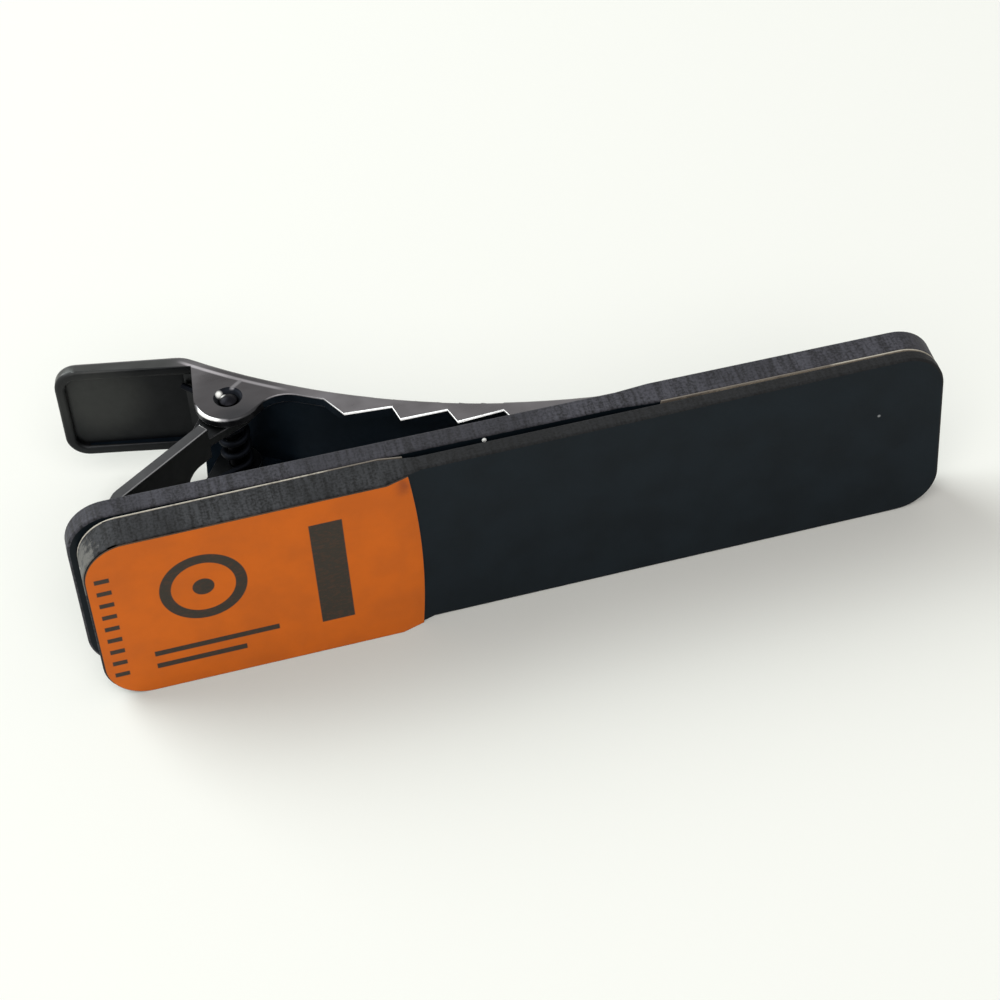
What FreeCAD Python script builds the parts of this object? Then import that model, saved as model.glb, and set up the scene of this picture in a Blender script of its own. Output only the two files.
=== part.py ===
import FreeCAD, Part
import math
import os
import re

# A tie clip. The bar is two strips cut from pressed black discs, glued back to back and end for
# end, so that each thick label land nests against the other strip's thinner groove area. A pinch
# clip of black nickelled sheet steel is glued to the back: a folded base and a sprung toothed jaw.
#
# Frame: X along the bar with the front label at -X, Y from the front face to the back, Z up the
# bar's width. The origin is the middle of the front strip's lower edge. Lengths are millimetres.

SHEET = "Sizes"

# The driving sizes, a heading before each group
DRIVING_SIZES = {
    "Bar": {
        "bar_length": 50.0,
        "bar_width": 12.0,
        "corner_radius": 2.5,
        "front_land_thick": 2.0,
        "front_groove_thick": 0.8,
        "front_label_length": 18.9,
        "rear_land_thick": 1.63,
        "rear_groove_thick": 1.29,
        "rear_label_length": 16.4,
        "rear_shift": 0.5,
        "label_radius": 50.0,
        "land_margin": 0.35,
        "disc_centre_rise": 6.2,
        "paper_thick": 0.09,
    },
    "Glue": {
        "seat_glue_thick": 0.03,
        "glue_inset": 1.2,
        "glue_dab_radius": 0.7,
        "glue_dab_spacing": 3.4,
        "clip_glue_thick": 0.15,
        "clip_glue_inset": 0.3,
    },
    "Clip, common": {
        "sheet_thick": 0.65,
        "clip_width": 6.7,
        "pivot_from_end": 10.25,
        "pivot_stand_off": 8.87,
        "pin_radius": 0.52,
        "pin_dome": 0.22,
        "pin_proud": 0.02,
        "pin_seat_clearance": 0.01,
        "pin_running_clearance": 0.04,
        "lug_side_clearance": 0.12,
    },
    "Clip base": {
        "foot_end_clearance": 2.17,
        "foot_corner_radius": 1.5,
        "fold_radius": 1.4,
        "strut_angle": 36.0,
        "strut_offset": 0.64,
        "strut_gap": 2.67,
        "lug_radius": 1.4,
        "lug_root": 1.7,
        "web_slot_radius": 1.1,
        "web_slot_depth": 1.0,
    },
    "Toothed jaw": {
        "jaw_length": 25.53,
        "jaw_back_radius": 42.45,
        "jaw_rest_gap": 0.1,
        "tab_length": 10.61,
        "tab_height": 3.99,
        "tab_tilt": 11.5,
        "tab_rim_depth": 1.05,
        "tab_corner_radius": 1.4,
        "bend_setback": 2.72,
        "bend_radius": 2.0,
        "back_edge_radius": 0.4,
        "ear_radius": 2.0,
        "ear_rim_setback": 1.66,
        "notch_radius": 1.9,
        "tooth_count": 6.0,
        "tooth_pitch": 3.195,
        "tooth_depth": 1.9,
        "tooth_flank": 0.68,
        "last_flank": 1.5,
        "tooth_root_wall": 0.25,
        "end_tooth_depth": 2.235,
        "dish_radius": 0.86,
        "dish_depth": 0.36,
    },
    "Return spring": {
        "wire_diameter": 0.4,
        "coil_clearance": 0.05,
        "coil_turns": 3.0,
        "coil_end_clearance": 0.08,
        "strut_leg_past": 1.5,
        "tab_leg_reach": 3.0,
        "leg_clearance": 0.02,
    },
    "Cuts": {
        "overrun": 1.0,
    },
}

FULL_TURN = 360.0
HALF_TURN = 180.0
QUARTER_TURN = 90.0


def write_sheet(doc):
    """Put the driving sizes in a spreadsheet and give them back by name."""
    sheet = doc.addObject("Spreadsheet::Sheet", SHEET)
    row = 1
    for heading, group in DRIVING_SIZES.items():
        sheet.set("A%d" % row, heading)
        row += 1
        for alias, value in group.items():
            sheet.set("A%d" % row, alias)
            sheet.set("B%d" % row, repr(value))
            sheet.setAlias("B%d" % row, alias)
            row += 1
    doc.recompute()
    return {alias: float(sheet.get(alias)) for group in DRIVING_SIZES.values() for alias in group}


def cell(formula):
    """Give the expression for a formula whose names are cells of the sheet, marked with a dot."""
    return re.sub(r"\.(?=[a-z])", SHEET + ".", formula)


doc = FreeCAD.newDocument("TieClip")
size = write_sheet(doc)


# Plane geometry

def point(x, y):
    return FreeCAD.Vector(x, y, 0)


def direction(angle):
    """Unit vector at an angle in degrees."""
    return point(math.cos(math.radians(angle)), math.sin(math.radians(angle)))


def angle_of(vector):
    return math.degrees(math.atan2(vector.y, vector.x))


def on_circle(centre, radius, angle):
    return centre + direction(angle) * radius


def tangent_point(centre, radius, outside, side):
    """Where the tangent from an outside point meets a circle; side is 1 (left of the way) or -1."""
    way = outside - centre
    lean = math.degrees(math.acos(radius / way.Length))
    return on_circle(centre, radius, angle_of(way) + side * lean)


class Outline:
    """A closed run of lines and arcs in a sketch plane."""

    def __init__(self, start):
        self.start = start
        self.last = start
        self.edges = []

    def line_to(self, end):
        self.edges.append(Part.LineSegment(self.last, end))
        self.last = end
        return self

    def arc_to(self, centre, radius, first, last):
        """Arc round a centre between two angles, entered from the last point by a line if apart."""
        start = on_circle(centre, radius, first)
        if (start - self.last).Length > Part.Precision.confusion():
            self.line_to(start)
        middle = on_circle(centre, radius, (first + last) / 2)
        end = on_circle(centre, radius, last)
        self.edges.append(Part.Arc(start, middle, end))
        self.last = end
        return self

    def close(self):
        if (self.start - self.last).Length > Part.Precision.confusion():
            self.line_to(self.start)
        return self.edges

    def face(self):
        return Part.Face(Part.Wire([edge.toShape() for edge in self.close()]))


# Features

def new_body(label):
    body = doc.addObject("PartDesign::Body", label)
    body.Label = label
    return body


def sketch_on(body, name, role, edges):
    """Sketch on one of the body's own origin planes."""
    sketch = body.newObject("Sketcher::SketchObject", name)
    plane = next(item for item in body.Origin.OriginFeatures if item.Role == role)
    sketch.AttachmentSupport = (plane, [""])
    sketch.MapMode = "FlatFace"
    sketch.addGeometry(edges, False)
    return sketch


def extrude(body, kind, name, sketch, length, side="Symmetric", backwards=False):
    """Pad or Pocket with its length bound to the sheet."""
    feature = body.newObject("PartDesign::" + kind, name)
    feature.Profile = sketch
    feature.SideType = side
    feature.Reversed = backwards
    feature.setExpression("Length", cell(length))
    return feature


def turn(body, kind, name, sketch):
    """Revolution or Groove about the body's Z axis, upright in a sketch on the XZ plane."""
    feature = body.newObject("PartDesign::" + kind, name)
    feature.Profile = sketch
    feature.ReferenceAxis = (sketch, ["V_Axis"])
    feature.Angle = FULL_TURN
    return feature


def round_edges(body, name, base, radius, test):
    """Fillet the edges of a feature that pass a test on their end points."""
    doc.recompute()
    chosen = []
    for number, edge in enumerate(base.Shape.Edges, start=1):
        if test([vertex.Point for vertex in edge.Vertexes]):
            chosen.append("Edge%d" % number)
    feature = body.newObject("PartDesign::Fillet", name)
    feature.Base = (base, chosen)
    feature.setExpression("Radius", cell(radius))
    return feature


def place(item, x="0", y="0", z="0"):
    """Bind an object's position to formulas of the sheet."""
    for axis, formula in (("x", x), ("y", y), ("z", z)):
        item.setExpression("Placement.Base." + axis, cell(formula))


def near(value, target):
    return abs(value - target) < NEAR_SHARE * size["sheet_thick"]


NEAR_SHARE = 0.01


# Levels from front to back, and the seat of the rear strip. The strips touch at the front label's
# inner end and near the rear label's outer end, so that the rear strip leans a little.

front_back = size["front_land_thick"] / 2
front_groove_back = size["front_groove_thick"] / 2
rear_groove_half = size["rear_groove_thick"] / 2
rear_land_half = size["rear_land_thick"] / 2
half_length = size["bar_length"] / 2
front_label_end = size["front_label_length"] - half_length
rear_strip_end = half_length - size["rear_shift"]
rear_label_end = rear_strip_end - size["rear_label_length"]
seat_thick = size["paper_thick"] + size["seat_glue_thick"]
left_middle = front_back + seat_thick + rear_groove_half
right_middle = front_groove_back + seat_thick + rear_land_half
if right_middle < left_middle:
    left_seat, right_seat = front_label_end, rear_strip_end
else:
    left_seat, right_seat = -half_length, rear_label_end
rear_lean = math.degrees(math.atan2(right_middle - left_middle, right_seat - left_seat))

# The rear frame: its X runs along the rear strip from the seat, and Y = 0 is the strip's middle
UPRIGHT = FreeCAD.Vector(0, 0, 1)
ACROSS = FreeCAD.Vector(0, 1, 0)
rear_frame = FreeCAD.Placement(FreeCAD.Vector(left_seat, left_middle, 0),
                               FreeCAD.Rotation(UPRIGHT, rear_lean))
END_FOR_END = FreeCAD.Rotation(ACROSS, HALF_TURN)
AS_DRAWN = FreeCAD.Rotation()


def place_behind(item, along, behind, height, rotation=AS_DRAWN):
    """Place an object in the rear frame."""
    spot = FreeCAD.Vector(along - left_seat, behind, height)
    item.Placement = rear_frame.multiply(FreeCAD.Placement(spot, rotation))


# The strips, seen from the front in a strip's own frame with its land at -X

def strip_outline():
    """The whole strip: a bar with round corners."""
    half = size["bar_length"] / 2
    radius = size["corner_radius"]
    low = radius
    high = size["bar_width"] - radius
    run = Outline(point(-half + radius, 0))
    run.arc_to(point(half - radius, low), radius, -QUARTER_TURN, 0)
    run.arc_to(point(half - radius, high), radius, 0, QUARTER_TURN)
    run.arc_to(point(-half + radius, high), radius, QUARTER_TURN, HALF_TURN)
    run.arc_to(point(-half + radius, low), radius, HALF_TURN, HALF_TURN + QUARTER_TURN)
    return run


def label_outline(length, margin, inset):
    """The strip's label end, bounded by the disc's round edge, drawn in by an inset."""
    left = -size["bar_length"] / 2
    centre = point(left + length - size["label_radius"], size["disc_centre_rise"])
    edge_radius = size["label_radius"] + margin - inset
    bottom = inset
    top = size["bar_width"] - inset
    corner = size["corner_radius"]
    round_radius = max(corner - inset, corner * INSET_CORNER_SHARE)
    start_angle = math.degrees(math.asin((bottom - centre.y) / edge_radius))
    end_angle = math.degrees(math.asin((top - centre.y) / edge_radius))
    inner_x = left + inset + round_radius
    run = Outline(point(inner_x, bottom))
    run.arc_to(centre, edge_radius, start_angle, end_angle)
    run.arc_to(point(inner_x, top - round_radius), round_radius, QUARTER_TURN, HALF_TURN)
    low_corner = point(inner_x, bottom + round_radius)
    run.arc_to(low_corner, round_radius, HALF_TURN, HALF_TURN + QUARTER_TURN)
    return run


INSET_CORNER_SHARE = 0.2


def make_strip(label, land_thick, groove_thick, length):
    """One strip: the groove area over its whole length and the thicker label land at one end."""
    body = new_body(label)
    whole = sketch_on(body, label + "_outline", "XZ_Plane", strip_outline().close())
    extrude(body, "Pad", label + "_groove_area", whole, groove_thick)
    land = label_outline(length, size["land_margin"], 0).close()
    land_sketch = sketch_on(body, label + "_land_outline", "XZ_Plane", land)
    extrude(body, "Pad", label + "_land", land_sketch, land_thick)
    return body


def make_label(label, length, backwards):
    """A paper label, cut flush with its strip and ending at the disc's label edge."""
    body = new_body(label)
    edges = label_outline(length, 0, 0).close()
    sketch = sketch_on(body, label + "_outline", "XZ_Plane", edges)
    extrude(body, "Pad", label + "_paper", sketch, ".paper_thick", "One side", backwards)
    return body


front_plate = make_strip(
    "front_plate", ".front_land_thick", ".front_groove_thick", size["front_label_length"])
front_label = make_label("front_label", size["front_label_length"], False)
place(front_label, y="-.front_land_thick / 2")
front_inner_label = make_label("front_inner_label", size["front_label_length"], True)
place(front_inner_label, y=".front_land_thick / 2")

rear_plate = make_strip(
    "rear_plate", ".rear_land_thick", ".rear_groove_thick", size["rear_label_length"])
place_behind(rear_plate, -size["rear_shift"], 0, size["bar_width"], END_FOR_END)
rear_inner_label = make_label("rear_inner_label", size["rear_label_length"], False)
place_behind(rear_inner_label, -size["rear_shift"], -rear_land_half, size["bar_width"], END_FOR_END)


# Glue between the strips: a film on each inner label and a row of dabs in the slot between lands

def flat_solid(face, depth):
    """Stand a plane outline up behind the front and give it a depth towards the back."""
    upright = face.copy()
    upright.rotate(FreeCAD.Vector(), FreeCAD.Vector(1, 0, 0), QUARTER_TURN)
    return upright.extrude(FreeCAD.Vector(0, depth, 0))


def space_before(behind):
    """The space on the front side of a plane of the rear frame."""
    span = size["bar_length"]
    block = Part.makeBox(span * 2, span, span * 2, FreeCAD.Vector(-span, behind - span, -span))
    block.Placement = rear_frame
    return block


def make_plate_glue():
    inset = size["glue_inset"]
    depth = size["bar_width"]
    before_groove = space_before(-rear_groove_half)
    before_label = space_before(-rear_land_half - size["paper_thick"])
    left_film = flat_solid(label_outline(size["front_label_length"], 0, inset).face(), depth)
    left_film.translate(FreeCAD.Vector(0, front_back + size["paper_thick"], 0))

    right_film = flat_solid(label_outline(size["rear_label_length"], 0, inset).face(), depth)
    right_film.rotate(FreeCAD.Vector(), ACROSS, HALF_TURN)
    right_film.translate(FreeCAD.Vector(-size["rear_shift"], front_groove_back, size["bar_width"]))

    pieces = [left_film.common(before_groove), right_film.common(before_label)]
    slot_middle = (front_label_end + rear_label_end) / 2
    for step in (-1, 0, 1):
        height = size["bar_width"] / 2 + step * size["glue_dab_spacing"]
        foot = FreeCAD.Vector(slot_middle, front_groove_back, height)
        dab = Part.makeCylinder(size["glue_dab_radius"], depth, foot, ACROSS)
        pieces.append(dab.common(before_groove))
    item = doc.addObject("Part::Feature", "plate_glue")
    item.Label = "plate_glue"
    item.Shape = Part.makeCompound([solid for piece in pieces for solid in piece.Solids])
    return item


plate_glue = make_plate_glue()


# The clip's pieces share a frame whose origin is the pivot axis, half-way across the clip

pivot_along = size["pivot_from_end"] - half_length
pivot_behind = rear_land_half + size["pivot_stand_off"]
foot_underside = rear_groove_half + size["clip_glue_thick"] - pivot_behind
foot_end = rear_label_end - size["land_margin"] - size["foot_end_clearance"]
foot_reach = foot_end - pivot_along


def place_on_pivot(item):
    place_behind(item, pivot_along, pivot_behind, size["bar_width"] / 2)


# Base: foot, fold and strut as one bent strip, then two lugs for the pin

sheet_thick = size["sheet_thick"]
strut_way = direction(size["strut_angle"])
strut_up = direction(size["strut_angle"] + QUARTER_TURN)


def on_strut(along, off):
    """A point by its distance along the strut from the pin and off the pin's line."""
    return strut_way * along + strut_up * off


foot_middle = foot_underside + sheet_thick / 2
fold_height = foot_middle + size["fold_radius"]
fold_reach = fold_height * strut_up.y + size["strut_offset"] + size["fold_radius"]
fold_centre = point(fold_reach / strut_way.y, fold_height)
strut_top = -size["strut_offset"] + sheet_thick / 2
strut_bottom = -size["strut_offset"] - sheet_thick / 2


def base_strip_outline():
    outer = size["fold_radius"] + sheet_thick / 2
    inner = size["fold_radius"] - sheet_thick / 2
    foot_angle = HALF_TURN + QUARTER_TURN
    strut_angle = size["strut_angle"] + QUARTER_TURN
    run = Outline(point(foot_reach, foot_middle - sheet_thick / 2))
    run.arc_to(fold_centre, outer, foot_angle, strut_angle)
    run.line_to(on_strut(-size["strut_gap"], strut_top))
    run.line_to(on_strut(-size["strut_gap"], strut_bottom))
    run.arc_to(fold_centre, inner, strut_angle, foot_angle)
    run.line_to(point(foot_reach, foot_middle + sheet_thick / 2))
    return run


def lug_outline():
    """A lug rises from the strut's end and goes round the pin."""
    radius = size["lug_radius"]
    heel = on_strut(-size["strut_gap"] - size["lug_root"], strut_top)
    toe = on_strut(-size["strut_gap"] - size["lug_root"], strut_bottom)
    upper = tangent_point(point(0, 0), radius, heel, -1)
    lower = on_strut(0, -radius)
    run = Outline(heel)
    run.line_to(toe)
    run.line_to(on_strut(-size["strut_gap"], strut_bottom))
    first = angle_of(lower)
    last = angle_of(upper)
    if last < first:
        last += FULL_TURN
    run.arc_to(point(0, 0), radius, first, last)
    return run


def lug_gap_outline():
    """The space between the lugs: above the strut and past its end."""
    reach = size["lug_radius"] + size["overrun"]
    back = -size["strut_gap"] - size["lug_root"] - size["overrun"]
    run = Outline(on_strut(back, strut_top))
    run.line_to(on_strut(-size["strut_gap"], strut_top))
    run.line_to(on_strut(-size["strut_gap"], -reach))
    run.line_to(on_strut(reach, -reach))
    run.line_to(on_strut(reach, reach))
    run.line_to(on_strut(back, reach))
    return run


def web_slot_outline():
    """Round-ended slot in the strut's end that makes room for the coil, seen square to the strut."""
    radius = size["web_slot_radius"]
    centre = point(-size["strut_gap"] - size["web_slot_depth"], 0)
    mouth = -size["strut_gap"] + size["overrun"]
    run = Outline(point(mouth, radius))
    run.arc_to(centre, radius, QUARTER_TURN, HALF_TURN + QUARTER_TURN)
    run.line_to(point(mouth, -radius))
    return run


def circle_edges(radius):
    return [Part.Circle(FreeCAD.Vector(), FreeCAD.Vector(0, 0, 1), radius)]


LUG_SPAN = "(.clip_width - 2 * .sheet_thick - 2 * .lug_side_clearance)"


def make_clip_base():
    body = new_body("clip_base")
    strip = sketch_on(body, "base_strip", "XY_Plane", base_strip_outline().close())
    strip_pad = extrude(body, "Pad", "base_strip_pad", strip, ".clip_width")
    end = foot_reach
    round_edges(body, "foot_corners", strip_pad, ".foot_corner_radius",
                lambda ends: all(near(spot.x, end) for spot in ends) and near(ends[0].z, ends[-1].z))
    lugs = sketch_on(body, "lugs", "XY_Plane", lug_outline().close())
    extrude(body, "Pad", "lug_pad", lugs, LUG_SPAN)
    gap = sketch_on(body, "lug_gap", "XY_Plane", lug_gap_outline().close())
    extrude(body, "Pocket", "lug_gap_cut", gap, LUG_SPAN + " - 2 * .sheet_thick")
    slot = sketch_on(body, "web_slot", "XZ_Plane", web_slot_outline().close())
    along_strut = FreeCAD.Rotation(ACROSS, size["strut_angle"])
    slot.AttachmentOffset = FreeCAD.Placement(FreeCAD.Vector(), along_strut)
    extrude(body, "Pocket", "web_slot_cut", slot, "2 * (.strut_offset + .sheet_thick)")
    hole = circle_edges(size["pin_radius"] + size["pin_seat_clearance"])
    hole_sketch = sketch_on(body, "lug_hole", "XY_Plane", hole)
    extrude(body, "Pocket", "lug_hole_cut", hole_sketch, ".clip_width")
    place_on_pivot(body)
    return body


clip_base = make_clip_base()


# Glue pad under the foot, a little smaller than the foot's flat

def make_clip_glue():
    pad = doc.addObject("Part::Box", "clip_glue")
    pad.Label = "clip_glue"
    inset = size["clip_glue_inset"]
    pad.Length = foot_reach - fold_centre.x - 2 * inset
    pad.setExpression("Width", cell(".clip_glue_thick"))
    pad.setExpression("Height", cell(".clip_width - 2 * .clip_glue_inset"))
    low = (size["bar_width"] - size["clip_width"]) / 2 + inset
    place_behind(pad, pivot_along + fold_centre.x + inset, rear_groove_half, low)
    return pad


# Toothed jaw: thumb tab, ears, notch and teeth in side view, then hollowed to sheet thickness

tab_up = direction(QUARTER_TURN - size["tab_tilt"])
tab_way = direction(-size["tab_tilt"])


def on_tab(along, height):
    """A point by its distance along the thumb tab and its height over the pin."""
    return tab_way * along + tab_up * height


bend = on_tab(-size["bend_setback"], size["tab_height"])
tip_height = size["jaw_rest_gap"] + size["end_tooth_depth"] - size["pivot_stand_off"]
jaw_tip = point(size["jaw_length"], tip_height)
chord = jaw_tip - bend
chord_angle = angle_of(chord)
rise = math.sqrt(size["jaw_back_radius"] ** 2 - (chord.Length / 2) ** 2)
jaw_centre = (bend + jaw_tip) * 0.5 + direction(chord_angle + QUARTER_TURN) * rise
bend_angle = angle_of(bend - jaw_centre)
tip_angle = angle_of(jaw_tip - jaw_centre)
tooth_root = sheet_thick + size["tooth_root_wall"]


def on_jaw(depth, from_tip):
    """A point by its depth under the jaw's back and its distance round from the tip."""
    turned = math.degrees(from_tip / size["jaw_back_radius"])
    return on_circle(jaw_centre, size["jaw_back_radius"] + depth, tip_angle - turned)


def notch_centre():
    """Centre of the notch: tangent to the ear, and as deep as the teeth are cut."""
    to_ear = size["ear_radius"] + size["notch_radius"]
    to_back = size["jaw_back_radius"] + tooth_root + size["notch_radius"]
    span = jaw_centre.Length
    opening = math.acos((to_back ** 2 + span ** 2 - to_ear ** 2) / (2 * to_back * span))
    return on_circle(jaw_centre, to_back, angle_of(-jaw_centre) + math.degrees(opening))


def jaw_outline():
    rim = size["tab_height"] - size["tab_rim_depth"]
    run = Outline(on_tab(-size["tab_length"], size["tab_height"]))
    run.arc_to(jaw_centre, size["jaw_back_radius"], bend_angle, tip_angle)
    run.line_to(on_jaw(size["end_tooth_depth"], 0))
    run.line_to(on_jaw(tooth_root, size["tooth_flank"]))
    tooth_count = int(size["tooth_count"])
    for number in range(1, tooth_count + 1):
        tip = number * size["tooth_pitch"]
        flank = size["tooth_flank"] if number < tooth_count else size["last_flank"]
        run.line_to(on_jaw(size["tooth_depth"], tip))
        run.line_to(on_jaw(tooth_root, tip + flank))
    notch = notch_centre()
    ear_way = angle_of(notch)
    notch_way = angle_of(notch - jaw_centre)
    root_radius = size["jaw_back_radius"] + tooth_root
    run.arc_to(jaw_centre, root_radius, angle_of(run.last - jaw_centre), notch_way)
    run.arc_to(notch, size["notch_radius"], notch_way + HALF_TURN, ear_way + HALF_TURN)
    corner = tab_rim_point(rim)
    left = angle_of(tangent_point(point(0, 0), size["ear_radius"], corner, 1))
    if left > ear_way:
        left -= FULL_TURN
    run.arc_to(point(0, 0), size["ear_radius"], ear_way, left)
    run.line_to(corner)
    run.line_to(on_tab(-size["tab_length"], rim))
    return run


def tab_rim_point(rim):
    """Where the ear's left edge, tangent to its round end, meets the thumb tab's rim."""
    along = (-size["ear_rim_setback"] - rim * tab_up.x) / tab_way.x
    return on_tab(along, rim)


def jaw_hollow_outline():
    """The inside of the channel and of the thumb tab, open towards the bar and at the tip."""
    floor = size["tab_height"] - sheet_thick
    inner_radius = size["jaw_back_radius"] + sheet_thick
    to_centre = jaw_centre - tab_up * floor
    along = to_centre.dot(tab_way)
    away = to_centre.dot(tab_up)
    inner_bend = on_tab(along - math.sqrt(inner_radius ** 2 - away ** 2), floor)
    start = on_tab(-size["tab_length"] + sheet_thick, floor)
    past_tip = on_jaw(sheet_thick, -size["overrun"])
    low = on_jaw(size["end_tooth_depth"] + size["overrun"], -size["overrun"])
    rim_below = on_tab(-size["tab_length"] + sheet_thick, floor - size["tab_rim_depth"])
    run = Outline(start)
    run.arc_to(jaw_centre, inner_radius, angle_of(inner_bend - jaw_centre), angle_of(past_tip - jaw_centre))
    run.line_to(low)
    run.line_to(point(rim_below.x, low.y))
    run.line_to(rim_below)
    return run


JAW_INSIDE = "(.clip_width - 2 * .sheet_thick)"


def dish_outline():
    """Half section of the dish round the pin hole on the upper ear."""
    face = size["clip_width"] / 2
    hole = size["pin_radius"] + size["pin_running_clearance"]
    run = Outline(point(0, face - size["dish_depth"]))
    run.line_to(point(hole, face - size["dish_depth"]))
    run.line_to(point(size["dish_radius"], face))
    run.line_to(point(size["dish_radius"], face + size["overrun"]))
    run.line_to(point(0, face + size["overrun"]))
    return run


def mirrored(edges):
    """The same edges on the other side of the sketch's horizontal axis."""
    flip = FreeCAD.Matrix()
    flip.scale(1, -1, 1)
    copies = []
    for edge in edges:
        ends = [flip.multVec(spot) for spot in (edge.StartPoint, edge.EndPoint)]
        copies.append(Part.LineSegment(*ends))
    return copies


def make_toothed_jaw():
    body = new_body("toothed_jaw")
    half = size["clip_width"] / 2
    profile = sketch_on(body, "jaw_profile", "XY_Plane", jaw_outline().close())
    block = extrude(body, "Pad", "jaw_block", profile, ".clip_width")
    bent = round_edges(body, "jaw_bend", block, ".bend_radius",
                       lambda ends: all(near((spot - bend).x, 0) and near((spot - bend).y, 0)
                                        for spot in ends))
    tab_end = on_tab(-size["tab_length"], 0).dot(tab_way)
    corners = round_edges(body, "tab_corners", bent, ".tab_corner_radius",
                          lambda ends: all(near(spot.dot(tab_way), tab_end) for spot in ends)
                          and near(ends[0].z, ends[-1].z))
    round_edges(body, "jaw_back_edges", corners, ".back_edge_radius",
                lambda ends: all(on_jaw_back(spot) for spot in ends)
                and (near(abs(ends[0].z), half) or near(abs(ends[-1].z), half)
                     or near(ends[0].dot(tab_way), tab_end)))
    hollow = sketch_on(body, "jaw_hollow", "XY_Plane", jaw_hollow_outline().close())
    hollow_cut = extrude(body, "Pocket", "jaw_hollow_cut", hollow, JAW_INSIDE)
    inside = half - sheet_thick
    round_edges(body, "tray_corners", hollow_cut, ".tab_corner_radius - .sheet_thick",
                lambda ends: all(near(spot.dot(tab_way), tab_end + sheet_thick)
                                 and near(abs(spot.z), inside) for spot in ends)
                and near(ends[0].z, ends[-1].z))
    hole = circle_edges(size["pin_radius"] + size["pin_running_clearance"])
    hole_sketch = sketch_on(body, "ear_hole", "XY_Plane", hole)
    extrude(body, "Pocket", "ear_hole_cut", hole_sketch, ".clip_width")
    upper = dish_outline().close()
    turn(body, "Groove", "upper_dish", sketch_on(body, "upper_dish_section", "XZ_Plane", upper))
    lower = sketch_on(body, "lower_dish_section", "XZ_Plane", mirrored(upper))
    turn(body, "Groove", "lower_dish", lower)
    place_on_pivot(body)
    return body


def on_jaw_back(spot):
    """Whether a point lies on the thumb tab's or the jaw's outer face."""
    flat = point(spot.x, spot.y)
    on_the_tab = near(flat.dot(tab_up), size["tab_height"]) and flat.x < bend.x + size["bend_radius"]
    return on_the_tab or near((flat - jaw_centre).Length, size["jaw_back_radius"])


clip_glue = make_clip_glue()
toothed_jaw = make_toothed_jaw()


# Pivot pin with domed ends

def make_pivot_pin():
    body = new_body("pivot_pin")
    radius = size["pin_radius"]
    dome = size["pin_dome"]
    half = size["clip_width"] / 2 + size["pin_proud"]
    ball = (radius ** 2 + dome ** 2) / (2 * dome)
    shoulder = math.degrees(math.asin(radius / ball))
    upper = point(0, half - ball)
    run = Outline(point(0, ball - half))
    run.arc_to(point(0, ball - half), ball, -QUARTER_TURN, shoulder - QUARTER_TURN)
    run.arc_to(upper, ball, QUARTER_TURN - shoulder, QUARTER_TURN)
    sketch = sketch_on(body, "pin_section", "XZ_Plane", run.close())
    turn(body, "Revolution", "pin_turning", sketch)
    place_on_pivot(body)
    return body


pivot_pin = make_pivot_pin()


# Return spring: a coil round the pin, one leg over the strut's end and one under the thumb tab

wire_radius = size["wire_diameter"] / 2
coil_radius = size["pin_radius"] + size["coil_clearance"] + wire_radius
lug_inside = size["clip_width"] - 4 * sheet_thick - 2 * size["lug_side_clearance"]
coil_length = lug_inside - size["wire_diameter"] - 2 * size["coil_end_clearance"]


def leg_to(contact, side):
    """Angle on the coil where a leg leaves it, tangent, on its way to a contact point."""
    return angle_of(tangent_point(point(0, 0), coil_radius, contact, side))


def biarc(start, start_way, end, end_way):
    """Two arcs that join two points with given directions."""
    across = end - start
    both = start_way + end_way
    bend_left = 2 * (1 - start_way.dot(end_way))
    lean = across.dot(both)
    reach = (math.sqrt(lean ** 2 + bend_left * across.dot(across)) - lean) / bend_left
    joint = (start + end + (start_way - end_way) * reach) * 0.5
    return [arc_from(start, start_way, joint), arc_from(end, -end_way, joint)]


def arc_from(start, way, end):
    """Arc from a point in a direction to another point."""
    chord_half = (end - start) * 0.5
    side = way.cross(chord_half).cross(way).normalize()
    radius = chord_half.dot(chord_half) * 2 / (2 * chord_half.dot(side))
    centre = start + side * radius
    outward = (start + chord_half - centre).normalize()
    return Part.Arc(start, centre + outward * radius, end)


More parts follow.
